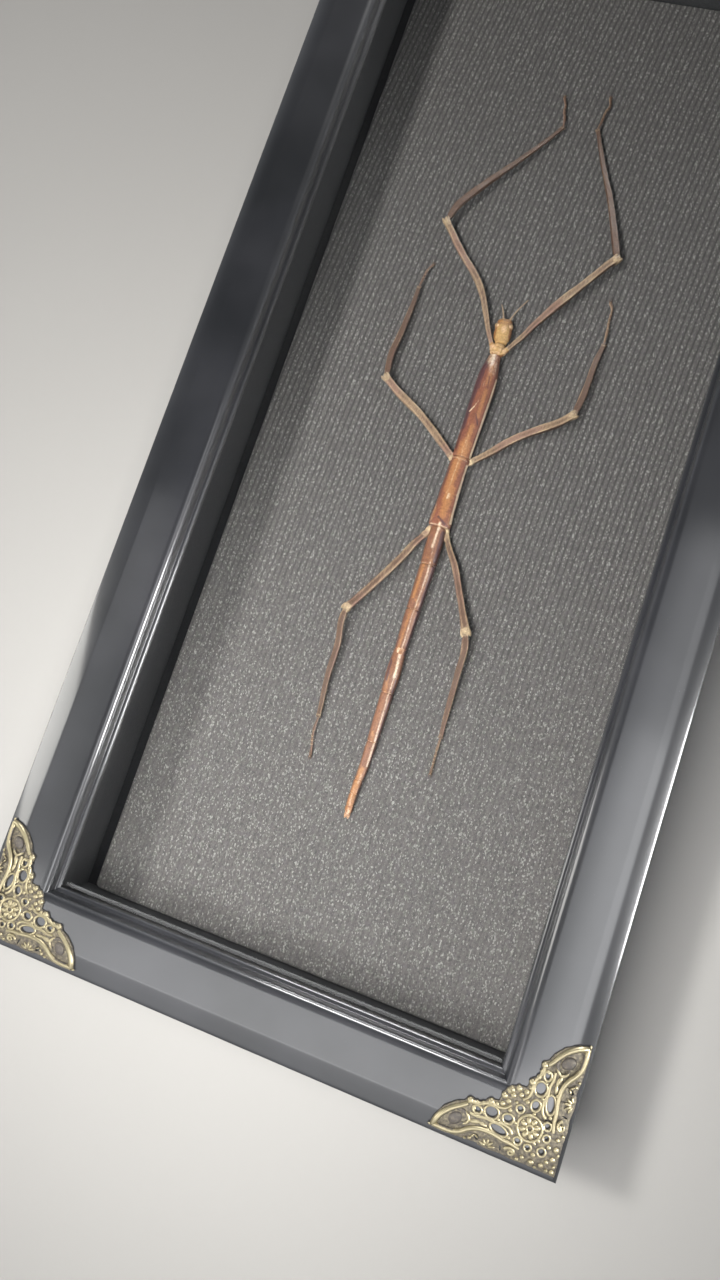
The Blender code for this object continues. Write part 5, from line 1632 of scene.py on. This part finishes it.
# %% Feelers
def feeler_radii(along):
    """A thick first joint, then many small ones, thinning to the tip."""
    joints = np.abs(np.cos(math.pi * ANTENNA_JOINTS * along))
    radii = ANTENNA_RADIUS * (1.02 - 0.55 * along) * (1.0 - 0.2 * joints ** 6)
    radii[along < 0.1] = ANTENNA_RADIUS * 1.32
    radii[(along > 0.085) & (along < 0.1)] = ANTENNA_RADIUS * 0.8
    radii[-4:] *= (0.9, 0.75, 0.5, 0.2)
    radii[:2] *= 0.7
    return radii, joints ** 4


def feeler(name, side, first, last, length, count=150, sides=14):
    """Its bearing turns from first to last over the first two thirds."""
    plan = [head_place(side, 0.5, 2.7)]
    for i in range(5):
        ahead, _ = compass(first + (last - first) * min(1, 1.5 * i / 4))
        plan.append(plan[-1] + np.array([*ahead, -0.08]) * (length / 5))
    plan, along = np.array(plan), np.linspace(0, 1, count)
    radii, joints = feeler_radii(along)
    heights = np.interp(along, np.linspace(0, 1, 6), plan[:, 2])
    shell = wire(smooth_path(plan, count)[:, :2], radii, sides, height=heights)
    piece = turn_outwards(add_mesh("feeler_" + name, *shell))
    paint_cuticle(piece, 0.22 + 0.25 * np.repeat(joints, sides),
                  0.3 + 0.1 * np.repeat(along, sides), 0)
    return settle(dress(piece, leg_finish), "leg_tan", "antenna_" + name)


for name, plan in ANTENNAE.items():
    feeler(name, *plan)
    print("feeler:", name, plan[-1], "mm")


# %% [markdown]
# ## Legs
# Every leg has the same parts: a short coxa at the body, a long femur, a knee, a long tibia and a
# jointed foot.  Femur and tibia are box-like tubes with a ridge at each corner and a shallow
# groove between the ridges; a row of tiny teeth runs along the ridges.  Each is one skin swept
# along its own slightly bent path.  A bearing is counted from +Y towards +X, and a bend is a pair:
# where along the part, and how far to the right of the straight line.

# %% The plan of the six legs
LEGS = {
    "front_left": {
        "coxa": (2.2, 47.6), "hip": (-0.5, 51.2),
        "femur": (-36.1, 66.9,
                  ((0.11, 0.8), (0.2, 2), (0.29, 3.1), (0.37, 3.9), (0.52, 3.8), (0.72, 1.6))),
        "tibia": (32.3, 72.8, ((0.13, -2.6), (0.34, -2.4), (0.6, -1), (0.84, 0))),
        "tarsus": (-14.7, 16.7, ((0.3, 0.4), (0.55, 0.1), (0.72, 0.6))),
        "femur_width": (2, 2.9, 3.3, 3.2, 3.2), "tibia_width": (3.1, 3.6, 2.8, 2.2, 1.7)},
    "front_right": {
        "coxa": (4.4, 47.2), "hip": (7, 50.1),
        "femur": (33.2, 64.9,
                  ((0.15, -0.1), (0.24, -0.8), (0.45, -1.2), (0.7, -0.9), (0.92, -0.6))),
        "tibia": (-23.2, 70, ((0.11, 0.2), (0.43, 0.8), (0.7, 0.1))),
        "tarsus": (3.4, 18.2, ((0.2, 0.3), (0.56, 0.4), (0.76, 1.3))),
        "femur_width": (2.2, 3, 4, 3.3, 3.6), "tibia_width": (3.3, 3.2, 2.7, 2.3, 1.8)},
    "middle_left": {
        "coxa": (0.6, -7.8), "hip": (-2.2, -5.4),
        "femur": (-55.7, 49.1, ((0.1, 0.3), (0.48, 1.1), (0.8, -0.1))),
        "tibia": (0, 49.2, ((0.23, -1.3), (0.47, -0.5), (0.8, 0.2))),
        "tarsus": (12.8, 13.1, ((0.45, -0.7), (0.77, -0.9))),
        "femur_width": (3, 3.7, 3.7, 3.8, 3.5), "tibia_width": (3.2, 3.2, 3, 2.5, 1.8)},
    "middle_right": {
        "coxa": (5.6, -8.4), "hip": (9, -5),
        "femur": (48.9, 48.3, ((0.18, -0.3), (0.36, -1.2), (0.52, -1.1), (0.86, 0.5))),
        "tibia": (5, 37.6, ((0.2, 0.4), (0.45, 0.2), (0.75, -0.4))),
        "tarsus": (-8.2, 21.1, ((0.3, 0.5), (0.55, 0.6), (0.78, 1.2), (0.9, 1))),
        "femur_width": (2.9, 3.6, 3.6, 3.7, 3.5), "tibia_width": (3.2, 3.3, 3, 2.8, 2)},
    "hind_left": {
        "coxa": (1.6, -38), "hip": (-2, -44.6),
        "femur": (-152, 48.7, ((0.12, 0.2), (0.3, -0.5), (0.65, -0.6), (0.88, -0.4))),
        "tibia": (176.2, 50.8, ((0.13, 0.6), (0.34, -0.3), (0.64, 0.5))),
        "tarsus": (173.5, 17.5, ((0.24, 0.7), (0.52, 0.8), (0.75, 0.3))),
        "femur_width": (3, 3.6, 3.7, 3.7, 3.8), "tibia_width": (3.3, 3.1, 3, 2.6, 1.9)},
    "hind_right": {
        "coxa": (5.4, -37), "hip": (8.1, -43.2),
        "femur": (151.2, 44.9, ((0.14, -0.2), (0.3, -1), (0.6, -0.7))),
        "tibia": (175.8, 47.3, ((0.17, -1.2), (0.4, -0.7), (0.72, -0.2))),
        "tarsus": (177.9, 16, ((0.36, 0.1), (0.76, 0))),
        "femur_width": (2.7, 3.1, 3.3, 3.4, 4.2), "tibia_width": (3.5, 3.2, 3, 2.6, 1.9)},
}
HIP_HEIGHT, ANKLE_HEIGHT, CLAW_HEIGHT = 2.9, 2, 1.05
KNEE_HEIGHT = {"front": 5, "middle": 5, "hind": 5.5}
TIBIA_DARKER = {"front": 0.82, "middle": 0.62, "hind": 0.48}
COXA_WIDTH, LIMB_FLATNESS = 3.2, 0.72


def limb_path(start, plan, low, high, shares):
    """Points of a limb; shares below 0 or above 1 run on past its two ends."""
    bearing, length, bends = plan
    ahead, right = compass(bearing)
    offset = read_table([(0, 0), *bends, (1, 0)], np.clip(shares, 0, 1), 1)
    place = np.array(start) + ahead * (shares * length)[:, None] + right * offset[:, None]
    return np.column_stack([place, FABRIC_TOP + low + (high - low) * shares])


def limb_widths(widths, shares):
    table = [(i / (len(widths) - 1), width) for i, width in enumerate(widths)]
    return read_table(table, np.clip(shares, 0, 1), 1)


print("legs planned:", len(LEGS))


# %% The ridged skin of a limb
def run_along(path):
    """Distance along a path at each of its points."""
    return np.concatenate([[0], np.cumsum(np.linalg.norm(np.diff(path, axis=0), axis=1))])


def limb_frames(path):
    ahead = np.gradient(path, axis=0)
    ahead /= np.linalg.norm(ahead, axis=1)[:, None]
    right = np.cross(ahead, [0, 0, 1])
    right /= np.linalg.norm(right, axis=1)[:, None]
    return right, np.cross(right, ahead)


def ridged_limb(path, widths, seed, teeth, groove, squareness=0.72, sides=28):
    """Points, and for each its turn round the limb and its distance along it."""
    right, up = limb_frames(path)
    along = run_along(path)[:, None]
    turns = np.linspace(0, 2 * math.pi, sides, endpoint=False)
    theta = (turns + 0.5 * math.pi / sides)[None, :]
    cos, sin = np.cos(theta), np.sin(theta)
    side = np.sign(cos) * np.abs(cos) ** squareness
    rise = np.sign(sin) * np.abs(sin) ** squareness * LIMB_FLATNESS
    corner = bell(np.abs(sin) - 0.7, 0.16) * bell(np.abs(cos) - 0.71, 0.2)
    sunken = groove * (1 + 0.7 * np.sin(along / 5.3 + seed) * np.sin(along / 2.9 + 2 * seed))
    grow = -sunken * (bell(np.abs(cos), 0.42) + 0.7 * bell(np.abs(sin), 0.4)) + 0.06 * corner
    grow = grow + 0.055 * teeth * corner * np.abs(np.sin(along * math.pi / 1.55 + seed)) ** 6
    grow = grow + 0.03 * np.sin(along / 1.7 + 3 * theta + seed)
    grow = grow + 0.035 * np.sin(along / 4.1 - 2 * theta + 2 * seed)
    half = (widths / 2)[:, None]
    side, rise = side * (1 + grow) * half, rise * (1 + grow) * half
    points = path[:, None] + right[:, None] * side[..., None] + up[:, None] * rise[..., None]
    points[..., 2] = np.maximum(points[..., 2], FABRIC_TOP + 0.1)
    return points.reshape(-1, 3), theta + 0 * along, along + 0 * theta


def rounded_ends(widths, path, radius_a, radius_b):
    """Draw the widths in at both ends, so that the skin closes in a dome."""
    along, made = run_along(path), widths.copy()
    for distance, radius in ((along, radius_a), (along[-1] - along, radius_b)):
        share = np.clip(distance / radius, 0, 1)
        made *= np.sqrt(np.clip(share * (2 - share), 0.02, 1))
    return made


def denser_ends(length, before, after, step):
    """Shares along a limb, with extra rings where it closes."""
    inner = np.arange(-before + 0.8, length + after - 0.8, step)
    edge = np.array([0.0, 0.04, 0.12, 0.25, 0.42, 0.62])
    return np.unique(np.concatenate([edge - before, inner, length + after - edge])) / length


print("rings along 10 mm of limb:", len(denser_ends(10.0, 0.0, 0.0, 0.62)))


# %% [markdown]
# ## Skin, knees and spurs
# One function sweeps and paints every part of a leg.  At the knee the femur ends in two rounded
# lobes and a cap that hold the pale ball of the tibia between them, and the tibia ends in two
# small spurs beside the foot.

# %% Colours along a limb
def limb_masks(theta, along, ends, darker, seed):
    """Pale ridges and ends, a deep groove along the top, pinkish stretches between,
    and painted shade darkening the right side of each limb.
    """
    sin, cos = np.sin(theta), np.cos(theta)
    ridge = bell(np.abs(sin) - 0.74, 0.18) * bell(np.abs(cos) - 0.66, 0.22) * smooth_step(sin + 0.6)
    patch = 0.5 + 0.5 * np.sin(along / 6.1 + seed) * np.sin(along / 3.7 + 1.7 * seed)
    pale = (0.62 - 0.3 * darker) * ridge * (0.4 + 0.8 * patch)
    for place, reach, strength in ends:
        pale = np.maximum(pale, strength * bell(along - place, reach))
    deep = darker + (0.3 + 0.3 * (1 - patch)) * bell(cos, 0.4) * (sin > 0) + 0.35 * (sin < -0.2)
    # the right side of each limb is darkened: painted shade
    deep = deep + 0.8 * smooth_step((cos - 0.5) / 0.3) - 1.2 * np.maximum(0, pale - 0.75)
    warm = 0.75 * smooth_step(0.35 + 1 * np.sin(along / 8.7 + 2.3 * seed))
    return pale, np.clip(deep, 0, 1), warm


def limb_piece(name, node, path, widths, skin, ends, darker, seed, lumps=(), tint=(0, 0, 0)):
    """Sweep a skin along a path, paint it, and join to it some lumps of one even tint."""
    points, theta, along = ridged_limb(path, widths, seed, *skin)
    shells = [(points, ring_faces(*theta.shape)), *lumps]
    piece = turn_outwards(join_shells(name, shells), crease=55)
    rest = len(piece.data.vertices) - len(points)
    masks = limb_masks(theta, along, ends, darker, seed)
    paint_cuticle(piece, *(np.concatenate([mask.ravel(), np.full(rest, even)])
                           for mask, even in zip(masks, tint)))
    return settle(dress(piece, leg_finish), "leg_tan", node)


def place_drop(centre, bearing, sizes, rings=12, sides=22):
    """A smooth lump turned to a bearing; sizes run along, across and up."""
    points, faces = drop((0, 0, 0), *sizes, rings=rings, sides=sides)
    ahead, right = compass(bearing)
    plan = points[:, :1] * ahead + points[:, 1:2] * right
    return np.column_stack([plan, points[:, 2]]) + np.asarray(centre), faces


print("limb colours ready")


# %% Coxa and femur
def build_coxa(name, leg, seed):
    root, hip = np.array(leg["coxa"]), np.array(leg["hip"])
    reach = np.linalg.norm(hip - root)
    shares = np.linspace(-0.1, 1 + 1.1 / reach, 26)
    path = np.column_stack([root + (hip - root) / reach * (shares * reach)[:, None],
                            FABRIC_TOP + HIP_HEIGHT + 0.2 * (1 - shares)])
    widths = np.interp(shares, (0, 0.55, 1),
                       (COXA_WIDTH, COXA_WIDTH * 1.1, leg["femur_width"][0] * 1.12))
    widths = rounded_ends(widths * (1 - 0.12 * bell(shares - 0.8, 0.09)), path, 0.8, 0.9)
    coxa = limb_piece("coxa_skin_" + name, "coxa_" + name, path, widths, (0, 0.05, 0.9),
                      ((reach * 0.7, 1.8, 0.62),), 0, seed)
    if name.startswith("front"):
        dress(coxa, head_finish)


def knee_lobes(knee, bearing, width, height):
    """Two lobes beside the ball of the knee and a cap over it."""
    ahead, right = compass(bearing)
    shells = []
    for side in (-1, 1):
        lobe = knee + ahead * 0.15 + right * side * width * 0.4
        shells.append(place_drop((*lobe, height), bearing, (1.75, width * 0.17, width * 0.33)))
    cap = (*(knee - ahead * 0.9), height + width * 0.2)
    return shells + [place_drop(cap, bearing, (1.5, width * 0.34, width * 0.2))]


def build_femur(name, leg, knee, knee_height, seed):
    bearing, length, _ = leg["femur"]
    shares = denser_ends(length, 0.9, 0.9, 0.62)
    path = limb_path(leg["hip"], leg["femur"], HIP_HEIGHT, knee_height, shares)
    distance = shares * length
    widths = limb_widths(leg["femur_width"], shares)
    widths = widths * (1 - 0.13 * bell(distance - 2.6, 0.45) + 0.06 * bell(distance - 1.2, 0.9)
                       + 0.1 * bell(length - distance - 1.2, 1.8))
    lobes = knee_lobes(knee, bearing, leg["femur_width"][-1] * 1.04, FABRIC_TOP + knee_height)
    limb_piece("femur_skin_" + name, "femur_" + name, path, rounded_ends(widths, path, 0.9, 1.5),
               (1, 0.17), ((0.5, 2.4, 0.5), (length + 0.6, 3, 0.52)),
               0.3 if name.startswith("hind") else 0.08, seed, lobes, (0.46, 0.1, 0.2))


print("coxa and femur ready")


# %% Tibia with its two spurs
def build_tibia(name, leg, knee, ankle, knee_height, seed):
    bearing, length, _ = leg["tibia"]
    shares = denser_ends(length, 0.7, 0.35, 0.62)
    path = limb_path(knee, leg["tibia"], knee_height, ANKLE_HEIGHT, shares)
    distance = shares * length
    widths = limb_widths(leg["tibia_width"], shares)
    widths = widths * (1 - 0.2 * bell(distance - 1.9, 1)
                       + 0.12 * bell(length - distance - 0.6, 1.4))
    (ahead, right), spurs = compass(bearing), []
    for side in (-1, 1):
        foot = ankle - ahead * 0.5 + right * side * leg["tibia_width"][-1] * 0.42
        spurs.append(place_drop((*foot, FABRIC_TOP + ANKLE_HEIGHT - 0.2), bearing + side * 12,
                                (0.95, 0.24, 0.26), 8, 12))
    limb_piece("tibia_skin_" + name, "tibia_" + name, path, rounded_ends(widths, path, 1.3, 0.7),
               (0.9, 0.15), ((0.7, 2.4, 0.52), (length, 0.9, 0.4)),
               TIBIA_DARKER[name.split("_")[0]], seed, spurs, (0.2, 0.4, 0.2))


print("tibia ready")


# %% [markdown]
# ## Feet and claws
# The foot has five joints, each swelling towards its end over a soft pad, and the last one carries
# two curved claws with a round pad between.  The claws are horn, so they are pieces of their own.

# %% Foot and claws
TARSUS_JOINTS = (0, 0.38, 0.52, 0.63, 0.73, 1)


def tarsus_widths(shares):
    widths = np.full(len(shares), 0.95)
    for start, end in zip(TARSUS_JOINTS, TARSUS_JOINTS[1:]):
        inside = (shares >= start) & (shares <= end)
        local = (shares[inside] - start) / (end - start)
        widths[inside] = (0.98 + 0.42 * smooth_step(local * 1.15 - 0.1) ** 1.5
                          - 0.34 * bell(local, 0.1) - 0.3 * bell(1 - local, 0.05))
    return widths


def build_foot(name, leg, ankle, seed):
    """The foot; gives its tip, where the claws begin."""
    bearing, length, _ = leg["tarsus"]
    shares = denser_ends(length, 0.7, 0, 0.2)
    path = limb_path(ankle, leg["tarsus"], ANKLE_HEIGHT, CLAW_HEIGHT, shares)
    joints = np.array(TARSUS_JOINTS[1:-1])
    under = limb_path(ankle, leg["tarsus"], ANKLE_HEIGHT, CLAW_HEIGHT, joints - 0.03)
    pads = [place_drop(place - (0, 0, 0.38), bearing, (0.75, 0.42, 0.4), 8, 14) for place in under]
    pads.append(place_drop(path[-1] - (0, 0, 0.05), bearing, (0.62, 0.5, 0.42), 8, 16))
    limb_piece("foot_" + name, "tarsus_" + name, path,
               rounded_ends(tarsus_widths(shares), path, 0.5, 0.5), (0, 0.04, 0.95, 18),
               [(joint * length + 0.7, 0.35, 0.5) for joint in joints], 0.36, seed, pads,
               (0.35, 0.25, 0.2))
    return path[-1]


def build_claws(name, tip, bearing, count=22):
    shells, shares, along = [], np.linspace(0, 1, 5), np.linspace(0, 1, count)
    heights = [tip[2] + 0.42 * math.sin(math.pi * min(1.0, share * 1.1)) - 0.35 * share ** 2
               for share in shares]
    radii = 0.3 * (1 - np.linspace(0, 0.93, count)) ** 0.7
    for side in (-1, 1):
        across = compass(bearing + 90)[0] * side * 0.28
        plan = []
        for share in shares:
            ahead, _ = compass(bearing + side * (38 - 40 * share))
            plan.append(tip[:2] + ahead * (2.4 * share - 0.5) + across)
        lift = np.interp(along, shares, heights)
        shells.append(wire(smooth_path(plan, count), radii, height=lift))
    claws = turn_outwards(join_shells("claws_" + name, shells))
    settle(dress(claws, claw_finish), "leg_tan")


print("joints in a foot:", len(TARSUS_JOINTS) - 1)


# %% Six legs
def build_leg(name, leg, seed):
    knee_height = KNEE_HEIGHT[name.split("_")[0]]
    knee = np.array(leg["hip"]) + compass(leg["femur"][0])[0] * leg["femur"][1]
    ankle = knee + compass(leg["tibia"][0])[0] * leg["tibia"][1]
    build_coxa(name, leg, seed)
    build_femur(name, leg, knee, knee_height, seed)
    build_tibia(name, leg, knee, ankle, knee_height, seed + 1.3)
    tip = build_foot(name, leg, ankle, seed + 2.1)
    build_claws(name, tip, leg["tarsus"][0])
    print("leg:", name, "tip at", np.round(tip, 1))


for number, (name, leg) in enumerate(LEGS.items()):
    build_leg(name, leg, 0.9 + 1.37 * number)


# %% [markdown]
# ## Stage, light and camera
# The case lies on a plain pale floor.  Two lamps do the lighting: a small key high on the left,
# which gives the short dark shadows to the right of the legs, and a soft one close above the lower
# half of the window.  Neither shows in anything shiny.  The others are only seen in shiny things:
# two boxes on the right for the sheen of the right rail, a turned panel on the left for the gleam
# along the trunk and the left shoulder, and smaller ones for the lower rails and the bright lines
# on the lips. Glass mirrors whatever is above it, so from the camera each of their images falls
# beside the window.

# %% Floor and sky
FLOOR_REACH = 3000
FLOOR_CORNERS = FLOOR_REACH * np.array([(-1, -1, 0), (1, -1, 0), (1, 1, 0), (-1, 1, 0)])


def make_floor():
    made, recipe = new_finish("pale_studio_floor", Specular_IOR_Level=0.2)
    cloudy = recipe.grain(recipe.coordinates(), 400, 3)
    recipe.surface(recipe.mix(cloudy, (0.35, 0.345, 0.336), (0.385, 0.38, 0.371)), 0.7)
    return made


floor = add_mesh("studio_floor", FLOOR_CORNERS, [(0, 1, 2, 3)])
dress(floor, make_floor())

sky = bpy.data.worlds.new("studio_sky")
bpy.context.scene.world = sky
sky.use_nodes = True
recipe = Recipe(sky.node_tree)
upwards = recipe.node("SeparateXYZ")
recipe.feed(upwards.inputs[0], recipe.node("TexCoord").outputs["Generated"])
overhead = recipe.spread(upwards.outputs["Z"], 0.1, 0.6)
background = sky.node_tree.nodes["Background"].inputs
recipe.feed(background["Color"], recipe.mix(overhead, (0.92, 0.96, 1), (0.09, 0.092, 0.098)))
recipe.feed(background["Strength"], 0.5)
print("floor and sky ready")


# %% Lamps
# name: place, aim, width and length in metres, power in watts, tint, roll in degrees
WHITE, COOL, IVORY = (1, 1, 1), (0.98, 0.985, 1), (1, 0.985, 0.93)
SUNNY, WARM = (1, 0.975, 0.94), (1, 0.985, 0.96)
LIGHTING = {
    "key_left": ((-0.42, -0.04, 0.74), (0, -0.14, 0), 0.1, 0.1, 5.6, SUNNY, 0),
    "close_above": ((-0.03, -0.22, 0.32), (-0.03, -0.22, 0), 0.2, 0.2, 1.95, WARM, 0)}
SHEEN = {
    "soft_right": ((0.445, -0.31, 0.86), (0.445, -0.31, 0), 0.4, 0.56, 1.6, COOL, 0),
    "faint_right": ((0.445, -0.27, 0.88), (0.445, -0.27, 0), 0.4, 1.1, 2.7, COOL, 0),
    "edge_right": ((0.9, -0.16, 0.44), (-0.09, -0.16, 0.05), 0.35, 0.33, 13, WHITE, 0),
    "edge_top": ((0.02, 0.95, 0.36), (0.02, -0.24, 0.05), 0.4, 0.22, 9, WHITE, 0),
    "panel_left": ((-0.95, -0.29, 0.55), (-0.12, -0.16, 0.05), 0.76, 0.3, 4.6, IVORY, 70),
    "strip_below": ((-0.115, -0.6, 0.8), (-0.115, -0.6, 0), 0.84, 0.24, 2, WHITE, 0),
    "panel_below": ((-0.05, -0.95, 0.75), (-0.05, -0.26, 0.05), 1.1, 0.6, 2.7, WHITE, 0),
    "strip_left": ((-0.545, -0.26, 0.9), (-0.545, -0.26, 0), 0.08, 0.72, 0.16, WHITE, 0)}


def add_lamp(name, place, aim, width, length, power, tint, roll):
    data = bpy.data.lights.new(name, "AREA")
    data.shape, data.size, data.size_y = "RECTANGLE", width, length
    data.energy, data.color = power, tint
    lamp = place_object(name, data)
    lamp.location = place
    facing = (Vector(aim) - Vector(place)).to_track_quat("-Z", "Y").to_matrix()
    lamp.rotation_euler = (facing @ Matrix.Rotation(math.radians(roll), 3, "Z")).to_euler()
    return lamp


for name, plan in LIGHTING.items():
    dull = add_lamp(name, *plan)
    dull.visible_glossy = dull.visible_transmission = dull.visible_camera = False
for name, plan in SHEEN.items():
    add_lamp(name, *plan).visible_diffuse = False
print("lamps:", len(LIGHTING), "that light and", len(SHEEN), "that only shine")


# %% Camera
# The camera looks down on the case from near its lower end, a little turned and tilted.
camera_data = bpy.data.cameras.new("view_camera")
camera_data.lens = 22.079
camera_data.sensor_width = 36
camera_data.clip_start = 0.01
camera = place_object("view_camera", camera_data)
camera.location = (0.04826, -0.13295, 0.36097)
camera.rotation_euler = [math.radians(turn) for turn in (8.41, 7.972, 18.853)]
bpy.context.scene.camera = camera
bpy.context.scene.view_settings.view_transform = "Standard"
print("camera lens in mm:", camera_data.lens)
